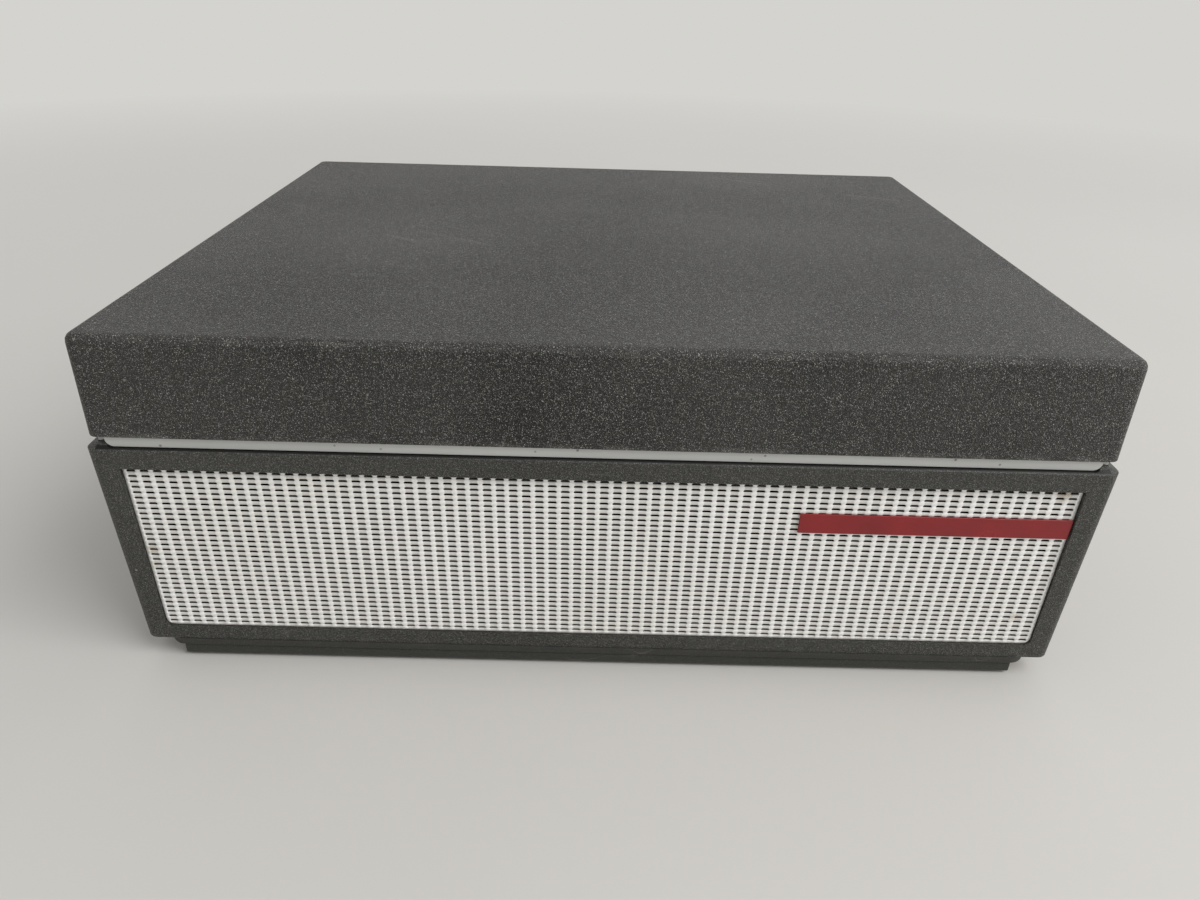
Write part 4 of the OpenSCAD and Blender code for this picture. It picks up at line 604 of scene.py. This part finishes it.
# Brown stains with ragged edges: place along and up the sheet and radius in mm, and how dark each is
stain_brown = tone(150, 128, 84)
stain_face = -155.4 * mm
stain_ragged = 0.6
stain_heart = 0.35
stains = (
    (172.0, 90.5, 6.0, 0.75),
    (169.0, 31.0, 4.5, 0.45),
    (-176.0, 55.0, 5.0, 0.4),
    (-177.5, 47.0, 4.0, 0.3),
    (120.0, 24.0, 6.0, 0.15),
)
spot = put(tree, "TexCoord", {}).outputs["Object"]
edge_stir = put(tree, "TexNoise", {"Vector": spot, "Scale": 700.0, "Detail": 2.0}).outputs[0]
for along, up, radius, darkness in stains:
    middle = Vector((along * mm, stain_face, up * mm))
    reach = radius * mm
    off = put(tree, "VectorMath", {0: spot, 1: middle}, operation="DISTANCE").outputs["Value"]
    ragged = calc(tree, "ADD", off, calc(tree, "MULTIPLY", edge_stir, reach * stain_ragged))
    stain = span(tree, ragged, reach, reach * stain_heart, 0.0, darkness)
    stained = layered(tree, stain, stained, stain_brown)
feed(tree, shader, stained, span(tree, shade["Mottle"], 0.3, 0.7, 0.3, 0.46), shade["Mottle"], 0.012 * mm)
sheet = piece_of(sheet_form, "punched_grille", grille_enamel, "case_body", "grille_metal", "front_grille")
sheet.data.shade_smooth()
gauge = sheet.modifiers.new("sheet_gauge", "SOLIDIFY")
gauge.thickness = sheet_gauge
gauge.offset = -1.0


# The badge: a plain red bar near the right end of the grille, with nothing printed on it.
# It is a strip of enamelled metal that lies flat on the punched sheet, a little scuffed.
badge_enamel, tree, shader = coating("badge_enamel", roughness=0.3)
shade = use(tree, uneven_shade, Scale=60.0)
lines = use(tree, fine_scratches, Stretch=(20.0, 90.0, 400.0))["Lines"]
reds = layered(tree, span(tree, shade["Clouds"], 0.35, 0.7), tone(142, 22, 26), tone(128, 20, 24))
scuffed = layered(tree, calc(tree, "MULTIPLY", lines, 0.4), reds, tone(180, 110, 105))
feed(tree, shader, scuffed, span(tree, shade["Clouds"], 0.3, 0.7, 0.26, 0.4), shade["Mottle"], 0.01 * mm)
dress("badge", badge_enamel, 0.25 * mm)


# The loudspeaker behind the grille: a board faced with black cloth, which closes off the case,
# and on the board a pressed steel frame that holds a paper cone. The cloth's near-black is partly painted
# shade for the slots.
black_cloth_and_shade, tree, shader = coating("black_cloth_and_shade", roughness=0.95, specular_ior_level=0.1)
weave = put(tree, "TexVoronoi", {"Vector": put(tree, "TexCoord", {}).outputs["Object"], "Scale": 1600.0})
# Near-black, partly as the shade seen through the grille's slots
black = layered(tree, weave.outputs["Distance"], tone(15, 15, 14), tone(8, 8, 8))
feed(tree, shader, black, None, weave.outputs["Distance"], 0.15 * mm)
dress("speaker_baffle", black_cloth_and_shade)
dress("speaker_frame", plated_steel)
cone_paper, tree, shader = coating("cone_paper", roughness=0.9)
shade = use(tree, uneven_shade, Scale=90.0)
greys = layered(tree, shade["Mottle"], tone(52, 48, 44), tone(36, 34, 32))
feed(tree, shader, greys, None, shade["Mottle"], 0.1 * mm)
dress("speaker_cone", cone_paper)


# The back: a panel of black moulded plastic, with three round sockets and the mains inlet.
# Two plated steel hinges carry the lid, each a bracket on the body and a leaf on the lid.
dark_moulding = plain_plastic("dark_moulding", tone(34, 34, 33), tone(46, 45, 43), 0.35)
dress("socket_panel", dark_moulding, 0.4 * mm)
dress("sockets", dark_moulding, 0.35 * mm)
dress("hinge_brackets", plated_steel)
dress("lid_hinge_leaves", plated_steel)


# The electric parts inside the case: the circuit board, of brown paper laminate,
# and the mains transformer, a lacquered stack of iron sheets.
board_brown, tree, shader = coating("board_brown", roughness=0.45)
shade = use(tree, uneven_shade, Scale=60.0)
lines = use(tree, drawn_lines, Stretch=(500.0, 500.0, 60.0))["Lines"]
browns = layered(tree, span(tree, lines, 0.35, 0.65), tone(122, 92, 52), tone(98, 72, 40))
feed(tree, shader, browns, span(tree, shade["Clouds"], 0.3, 0.7, 0.35, 0.55), shade["Mottle"], 0.02 * mm)
dress("circuit_board", board_brown)
lacquered_iron = bare_metal("lacquered_iron", tone(92, 88, 82), tone(62, 58, 54), 0.45, (60.0, 60.0, 2500.0))
dress("transformer", lacquered_iron, 0.6 * mm)


# The chassis: a plated steel plate on turned pillars, which carries the whole drive on brass bearings.
# The motor hangs under it and drives the heavy flywheel and the take-up clutch by rubber belts.
# Two turntables carry the reels, each with a brake.
turned_rings, taken, given = effect(
    "turned_rings", {"Centre": (0.0, 0.0, 0.0), "Scale": 1500.0}, ["Rings"],
)
spot = put(turned_rings, "TexCoord", {}).outputs["Object"]
off = vector_sum(turned_rings, "SUBTRACT", spot, taken.outputs["Centre"])
level = vector_sum(turned_rings, "MULTIPLY", off, (1.0, 1.0, 0.0))
reach = put(turned_rings, "VectorMath", {0: level}, operation="LENGTH").outputs["Value"]
grooves = put(
    turned_rings, "TexNoise",
    {"W": reach, "Scale": taken.outputs["Scale"], "Detail": 2.0}, noise_dimensions="1D",
).outputs[0]
turned_rings.links.new(grooves, given.inputs["Rings"])


def turned_metal(name, node, colour, tarnish, gloss):
    """Metal cut on a lathe, with fine rings about the middle of its node."""
    low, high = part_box(node)
    coat, tree, shader = coating(name, metallic=1.0)
    rings = use(tree, turned_rings, Centre=(low + high) / 2, Scale=2200.0)["Rings"]
    shade = use(tree, uneven_shade, Scale=50.0)
    ringed = layered(tree, span(tree, rings, 0.3, 0.7, 0.0, 0.5), colour, tarnish)
    clouded = layered(tree, span(tree, shade["Clouds"], 0.45, 0.8, 0.0, 0.6), ringed, tarnish)
    feed(tree, shader, clouded, span(tree, rings, 0.3, 0.7, gloss, gloss + 0.2), rings, 0.015 * mm)
    return coat


turned_brass = bare_metal("turned_brass", tone(196, 164, 92), tone(150, 118, 62), 0.25)
drive_rubber = plain_plastic("drive_rubber", tone(30, 30, 30), tone(40, 39, 38), 0.6)
brake_felt, tree, shader = coating("brake_felt", roughness=0.95, sheen_weight=0.4)
shade = use(tree, uneven_shade, Scale=120.0)
felts = layered(tree, shade["Mottle"], tone(176, 96, 60), tone(140, 70, 44))
feed(tree, shader, felts, None, shade["Mottle"], 0.15 * mm)
turntable_grey = plain_plastic("turntable_grey", tone(118, 119, 118), tone(134, 134, 130), 0.4)
clutch_plastic = plain_plastic("clutch_plastic", tone(196, 190, 172), tone(176, 168, 148), 0.4)
for node in ("chassis_plate", "pillars", "flywheel_bracket", "motor_rotor"):
    dress(node, plated_steel)
dress("bearings", turned_brass)
dress("motor_body", lacquered_iron, 0.6 * mm)
dress("flywheel", turned_metal("flywheel_steel", "flywheel", tone(190, 188, 184), tone(140, 138, 132), 0.25))
dress("drive_belts", drive_rubber, 0.15 * mm)
dress("takeup_clutch", clutch_plastic)
dress("supply_turntable", turntable_grey)
dress("takeup_turntable", turntable_grey)
dress("supply_brake", brake_felt)
dress("takeup_brake", brake_felt)


# The deck: a sheet of steel in light grey stove enamel, whose front edge is turned down over the body.
# That edge shows as a pale strip under the lid, with many small chips in the paint.
front_from = strip_low.y + 0.8 * mm
front_to = strip_low.y + 0.3 * mm
deck_enamel, tree, shader = coating("deck_enamel", specular_ior_level=0.5)
shade = use(tree, uneven_shade, Scale=12.0)
few_chips = use(tree, settled_dust, Scale=170.0, Share=0.1)["Specks"]
many_chips = use(tree, settled_dust, Scale=190.0, Share=0.5)["Specks"]
spot = put(tree, "TexCoord", {}).outputs["Object"]
on_front = span(tree, put(tree, "SeparateXYZ", {0: spot}).outputs["Y"], front_from, front_to)
chips = calc(tree, "MAXIMUM", few_chips, calc(tree, "MULTIPLY", on_front, many_chips))
lines = use(tree, fine_scratches, Stretch=(14.0, 120.0, 120.0))["Lines"]
greys = layered(tree, span(tree, shade["Clouds"], 0.35, 0.65), tone(203, 204, 201), tone(194, 195, 192))
chipped = layered(tree, calc(tree, "MULTIPLY", chips, 0.7), greys, tone(84, 82, 78))
scratched = layered(tree, calc(tree, "MULTIPLY", lines, 0.4), chipped, tone(205, 204, 200))
feed(tree, shader, scratched, span(tree, shade["Clouds"], 0.3, 0.7, 0.36, 0.5), shade["Mottle"], 0.03 * mm)
dress("deck_plate", deck_enamel, 0.5 * mm, 3)


# The control panel: a strip of brushed aluminium that lies on the front of the deck.
# Ticks and plain figures are printed on it in black, round each knob.
brushed_aluminium = bare_metal(
    "brushed_aluminium", tone(224, 224, 221), tone(198, 198, 194), 0.3, (14.0, 2600.0, 14.0),
)
dress("control_panel", brushed_aluminium, 0.2 * mm)
panel_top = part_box("control_panel")[1].z
print_height = 0.05 * mm
scale_ink = plain_plastic("scale_ink", tone(30, 30, 30), tone(44, 44, 42), 0.5)
tick_count = 11
tick_sweep = math.radians(270)
tick_inside = 14.6 * mm
tick_outside = 17.0 * mm
tick_width = 0.45 * mm
figure_ring = 19.0 * mm
figure_size = 2.9 * mm
straight_up = math.radians(90)


def rectangle(left, near, right, far):
    """The outline of a rectangle, from its near left corner round to its far left one."""
    return [(left, near), (right, near), (right, far), (left, far)]


def tick(form, middle, angle, inside, outside, width, face):
    """Adds one printed line on a face, which points away from a middle."""
    place = Matrix.Translation((middle.x, middle.y, face)) @ Matrix.Rotation(angle, 4, "Z")
    outline = rectangle(inside, -width / 2, outside, width / 2)
    prism(form, outline, -print_height, print_height, place)


def figure(form, words, size, place):
    """Adds a printed figure, its middle on the place given."""
    letter = bpy.data.curves.new("figure_outline", "FONT")
    letter.body = words
    letter.size = size
    letter.align_x = "CENTER"
    letter.align_y = "CENTER"
    letter.extrude = print_height
    outline = bpy.data.objects.new("figure_outline", letter)
    shape = bpy.data.meshes.new_from_object(outline)
    shape.transform(place)
    form.from_mesh(shape)
    bpy.data.meshes.remove(shape)
    bpy.data.objects.remove(outline)
    bpy.data.curves.remove(letter)


scale_form = bmesh.new()
for node in ("volume_knob", "tone_knob"):
    low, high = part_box(node)
    middle = (low + high) / 2
    for i in range(tick_count):
        angle = straight_up + tick_sweep / 2 - tick_sweep * i / (tick_count - 1)
        tick(scale_form, middle, angle, tick_inside, tick_outside, tick_width, panel_top)
        figure_x = middle.x + figure_ring * math.cos(angle)
        figure_y = middle.y + figure_ring * math.sin(angle)
        figure(scale_form, str(i), figure_size, Matrix.Translation((figure_x, figure_y, panel_top)))
piece_of(scale_form, "printed_scales", scale_ink, "case_body", "dark_plastic")


# The knobs: fluted black plastic, pushed on the shafts of the control pots under the panel.
# Each has a spun aluminium disc let into its top, and on it a white pointer line.
knob_black = plain_plastic("knob_black", tone(30, 30, 29), tone(42, 41, 39), 0.32)
pointer_white = plain_plastic("pointer_white", tone(226, 224, 216), tone(206, 202, 190), 0.4)
disc_radius = 8.6 * mm
disc_rise = 0.5 * mm
disc_bore = 1.2 * mm
disc_rim = 0.5 * mm
disc_segments = 48
dish_level = 0.7 * disc_rise
disc_profile = [
    (disc_radius, -0.2 * disc_rise),
    (disc_radius, 0.6 * disc_rise),
    (disc_radius - disc_rim, disc_rise),
    (disc_radius - 2 * disc_rim, dish_level),
    (disc_bore, dish_level),
]
pointer_inside = 2.5 * mm
pointer_outside = disc_radius - 0.6 * mm
pointer_half = 0.5 * mm
pointer_outline = rectangle(pointer_inside, -pointer_half, pointer_outside, pointer_half)
for node in ("volume_knob", "tone_knob"):
    dress(node, knob_black, 0.35 * mm)
    low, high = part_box(node)
    top = Matrix.Translation(((low.x + high.x) / 2, (low.y + high.y) / 2, high.z))
    disc_form = bmesh.new()
    turned_form(disc_form, disc_profile, top, disc_segments)
    spun = turned_metal("spun_" + node, node, tone(212, 212, 208), tone(176, 176, 172), 0.22)
    piece_of(disc_form, node + "_disc", spun, node + "_body", "panel_aluminium").data.shade_smooth()
    pointer_form = bmesh.new()
    prism(pointer_form, pointer_outline, 0, disc_rise, top @ Matrix.Rotation(straight_up, 4, "Z"))
    piece_of(pointer_form, node + "_pointer", pointer_white, node + "_body", "key_ivory")
dress("control_pots", plated_steel)


# The level meter: a black box under the panel, with an arc of lines printed on an ivory card.
# A red needle swings over the card, under a window of clear plastic.
meter_low, meter_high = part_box("meter_window")
card_top = 95.6 * mm
card_gauge = 0.5 * mm
card_margin = 0.6 * mm
pivot_inset = 1.9 * mm
ivory_card = plain_plastic("ivory_card", tone(228, 220, 196), tone(214, 204, 178), 0.6)
needle_red = plain_plastic("needle_red", tone(170, 36, 28), tone(150, 30, 24), 0.4)
dress("meter_housing", dark_moulding)
dress("meter_needle", needle_red, 0.1 * mm)
card_form = bmesh.new()
card_low = meter_low + Vector((card_margin, card_margin, 0))
card_high = meter_high - Vector((card_margin, card_margin, 0))
card_outline = rectangle(card_low.x, card_low.y, card_high.x, card_high.y)
prism(card_form, card_outline, card_top - card_gauge, card_top, Matrix.Identity(4))
piece_of(card_form, "meter_card", ivory_card, "case_body", "dial_plastic")
needle_pivot = Vector(((meter_low.x + meter_high.x) / 2, meter_low.y + pivot_inset, 0))
arc_radius = 13.2 * mm
arc_sweep = math.radians(70)
arc_steps = 28
long_every = 4
long_mark = (2.2 * mm, 0.35 * mm)
short_mark = (1.2 * mm, 0.22 * mm)
red_from = 0.72
for name, ink, slot, start, end in (
    ("meter_scale", scale_ink, "dark_plastic", 0.0, red_from),
    ("meter_red_zone", needle_red, "needle_red", red_from, 1.0),
):
    arc_form = bmesh.new()
    for i in range(arc_steps):
        part = i / (arc_steps - 1)
        if start <= part <= end:
            angle = straight_up + arc_sweep / 2 - arc_sweep * part
            length, width = short_mark if i % long_every else long_mark
            tick(arc_form, needle_pivot, angle, arc_radius, arc_radius + length, width, card_top)
    piece_of(arc_form, name, ink, "case_body", slot)
clear_plastic, tree, shader = coating(
    "clear_plastic", ior=1.49, transmission_weight=1.0, base_color=(0.96, 0.97, 0.96, 1.0),
)
shade = use(tree, uneven_shade, Scale=90.0)
feed(tree, shader, None, span(tree, shade["Clouds"], 0.4, 0.75, 0.03, 0.12))
dress("meter_window", clear_plastic, 0.3 * mm)


# The counter: an ivory plastic dial that shows through a small window in the deck.
# Figures and lines are printed round its rim, and the supply reel turns it slowly.
dial_low, dial_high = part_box("counter_dial")
dial_ivory = plain_plastic("dial_ivory", tone(232, 228, 214), tone(216, 210, 192), 0.45)
dress("counter_dial", dial_ivory, 0.3 * mm)
dial_middle = Vector(((dial_low.x + dial_high.x) / 2, (dial_low.y + dial_high.y) / 2, dial_high.z))
dial_radius = (dial_high.x - dial_low.x) / 2
dial_figures = 10
dial_figure_size = 4.6 * mm
dial_figure_ring = dial_radius - 5.2 * mm
lines_to_figure = 5
line_inside = dial_radius - 2.2 * mm
line_outside = dial_radius - 0.6 * mm
line_width = 0.3 * mm
counter_form = bmesh.new()
for i in range(dial_figures):
    turn = Matrix.Rotation(2 * math.pi * i / dial_figures, 4, "Z")
    place = Matrix.Translation(dial_middle) @ turn @ Matrix.Translation((0, -dial_figure_ring, 0))
    figure(counter_form, str(i), dial_figure_size, place)
    for j in range(lines_to_figure):
        steps = i + (j + 0.5) / lines_to_figure
        angle = 2 * math.pi * steps / dial_figures - straight_up
        tick(counter_form, dial_middle, angle, line_inside, line_outside, line_width, dial_high.z)
piece_of(counter_form, "counter_figures", scale_ink, "counter_body", "dark_plastic")


# The keys: five piano keys of moulded ivory plastic, the record key in red, on one steel axle.
# Each has a plain sign let into its top, and a brass leaf spring lifts it again.
key_ivory = plain_plastic("key_ivory", tone(226, 221, 205), tone(208, 200, 180), 0.3)
key_red = plain_plastic("key_red", tone(158, 36, 38), tone(138, 30, 32), 0.3)
sign_depth = 0.12 * mm
sign_rise = 0.4 * sign_depth
sign_half = 2.6 * mm
sign_along = 0.42
arrow_half = 0.8 * sign_half
pair_shift = 2.0 * mm
dot_points = 24
key_nose = 6 * mm
key_cap = 37 * mm
key_rise = 6.4 * mm
key_slope = math.atan2(key_rise / 2, key_cap - key_nose)


def arrow(shift, turn):
    """A three-cornered sign that points right for turn 1 and left for turn -1."""
    back = shift - turn * arrow_half
    return [(back, -sign_half), (shift + turn * arrow_half, 0), (back, sign_half)][::turn]


dot_angles = [2 * math.pi * i / dot_points for i in range(dot_points)]
key_signs = {
    "record_key": [[(sign_half * math.cos(angle), sign_half * math.sin(angle)) for angle in dot_angles]],
    "rewind_key": [arrow(-pair_shift, -1), arrow(pair_shift, -1)],
    "stop_key": [rectangle(-sign_half, -sign_half, sign_half, sign_half)],
    "start_key": [arrow(0, 1)],
    "forward_key": [arrow(-pair_shift, 1), arrow(pair_shift, 1)],
}
for node, outlines in key_signs.items():
    is_red = node == "record_key"
    dress(node, key_red if is_red else key_ivory, 0.9 * mm, 3)
    low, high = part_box(node)
    sign_y = low.y + key_nose + sign_along * (key_cap - key_nose)
    sign_z = high.z - sign_along * key_rise / 2
    place = Matrix.Translation(((low.x + high.x) / 2, sign_y, sign_z)) @ Matrix.Rotation(-key_slope, 4, "X")
    sign_form = bmesh.new()
    for outline in outlines:
        prism(sign_form, outline, -sign_depth, sign_rise, place)
    ink = pointer_white if is_red else scale_ink
    piece_of(sign_form, node + "_sign", ink, node + "_body", "key_ivory" if is_red else "dark_plastic")
dress("key_frame", plated_steel)


# The key springs: a comb of thin sprung brass behind the keys, with one leaf bent up under each of them.
spring_brass = bare_metal("spring_brass", tone(190, 166, 100), tone(150, 124, 70), 0.3)
comb_low, comb_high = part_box("key_springs")
leaf_gauge = 0.5 * mm
leaf_width = 8 * mm
comb_depth = 5 * mm
comb_front = comb_high.y - comb_depth
leaf_root = comb_front + leaf_gauge
leaf_outline = [
    (leaf_root, comb_low.z), (leaf_root, comb_low.z + leaf_gauge),
    (comb_low.y, comb_high.z), (comb_low.y, comb_high.z - leaf_gauge),
]
comb_form = bmesh.new()
comb_outline = rectangle(comb_low.x, comb_front, comb_high.x, comb_high.y)
prism(comb_form, comb_outline, comb_low.z, comb_low.z + leaf_gauge, Matrix.Identity(4))
piece_of(comb_form, "key_spring_comb", spring_brass, "case_body", "brass", "key_springs")
on_its_side = Matrix(((0, 0, 1, 0), (1, 0, 0, 0), (0, 1, 0, 0), (0, 0, 0, 1)))
presses = {joint["name"]: joint for joint in frame["joints"]}
for node in key_signs:
    low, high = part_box(node)
    middle = (low.x + high.x) / 2
    leaf_form = bmesh.new()
    prism(leaf_form, leaf_outline, middle - leaf_width / 2, middle + leaf_width / 2, on_its_side)
    leaf = piece_of(leaf_form, node + "_spring", spring_brass, "case_body", "brass", "key_springs")
    press = presses[node + "_press"]
    turn = math.radians(max(press["range_deg"], key=abs))
    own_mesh(leaf)


# The tape path: two heads on a steel bracket, two polished guides, the capstan and a rubber pinch roller.
# A grey plastic cover hides them, with a slot between its two hoods that the tape is dropped into.
polished_steel = bare_metal(
    "polished_steel", tone(214, 214, 212), tone(180, 180, 176), 0.14, (900.0, 900.0, 80.0),
)
for node in ("erase_head", "record_play_head", "tape_guides", "capstan_shaft"):
    dress(node, polished_steel, 0.25 * mm)
dress("head_bracket", plated_steel)
dress("pinch_arm", plated_steel)
dress("pinch_roller", drive_rubber, 0.5 * mm)
hood_grey = plain_plastic("hood_grey", tone(128, 128, 124), tone(144, 143, 138), 0.38)
dress("head_cover", hood_grey, 1.1 * mm, 4)


# The reels: pale moulded plastic on three-finned spindles, the left one full and the right one just begun.
# The brown tape lies in even turns, and runs from one reel to the other through the slot.
reel_plastic = plain_plastic("reel_plastic", tone(206, 205, 198), tone(190, 188, 178), 0.28, 0.03)
for node in ("supply_reel", "takeup_reel"):
    dress(node, reel_plastic, 0.4 * mm, 3)
for node in ("supply_tape", "takeup_tape"):
    low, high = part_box(node)
    wound_tape, tree, shader = coating("wound_" + node, specular_ior_level=0.4)
    turns = use(tree, turned_rings, Centre=(low + high) / 2, Scale=2600.0)["Rings"]
    bands = use(tree, turned_rings, Centre=(low + high) / 2, Scale=180.0)["Rings"]
    banded = layered(tree, span(tree, bands, 0.35, 0.65), tone(72, 48, 36), tone(88, 62, 47))
    ringed = layered(tree, span(tree, turns, 0.35, 0.65, 0.0, 0.6), banded, tone(52, 34, 26))
    feed(tree, shader, ringed, span(tree, turns, 0.3, 0.7, 0.3, 0.5), turns, 0.05 * mm)
    dress(node, wound_tape, 0.15 * mm)
tape_film, tree, shader = coating("tape_film", specular_ior_level=0.5)
shade = use(tree, uneven_shade, Scale=80.0)
browns = layered(tree, shade["Clouds"], tone(78, 52, 40), tone(92, 64, 50))
feed(tree, shader, browns, span(tree, shade["Clouds"], 0.3, 0.7, 0.22, 0.34), shade["Mottle"], 0.005 * mm)
dress("tape_run", tape_film, 0.05 * mm)


# The lid: a deep moulding of the same dark plastic as the body, with a coarser pebbled skin.
# Its top and front meet in a soft round edge, where the skin is rubbed and has painted glints.
lid_skin = grained_plastic(
    "lid_skin", "lid", hollow_shade=tone(9, 9, 8), colour=tone(58, 56, 52), glint_colour=tone(186, 184, 179),
    pebbles=1850.0, depth=0.3 * mm, dust=0.05, gloss=0.36,
)
dress("lid", lid_skin, 0.5 * mm, 3)
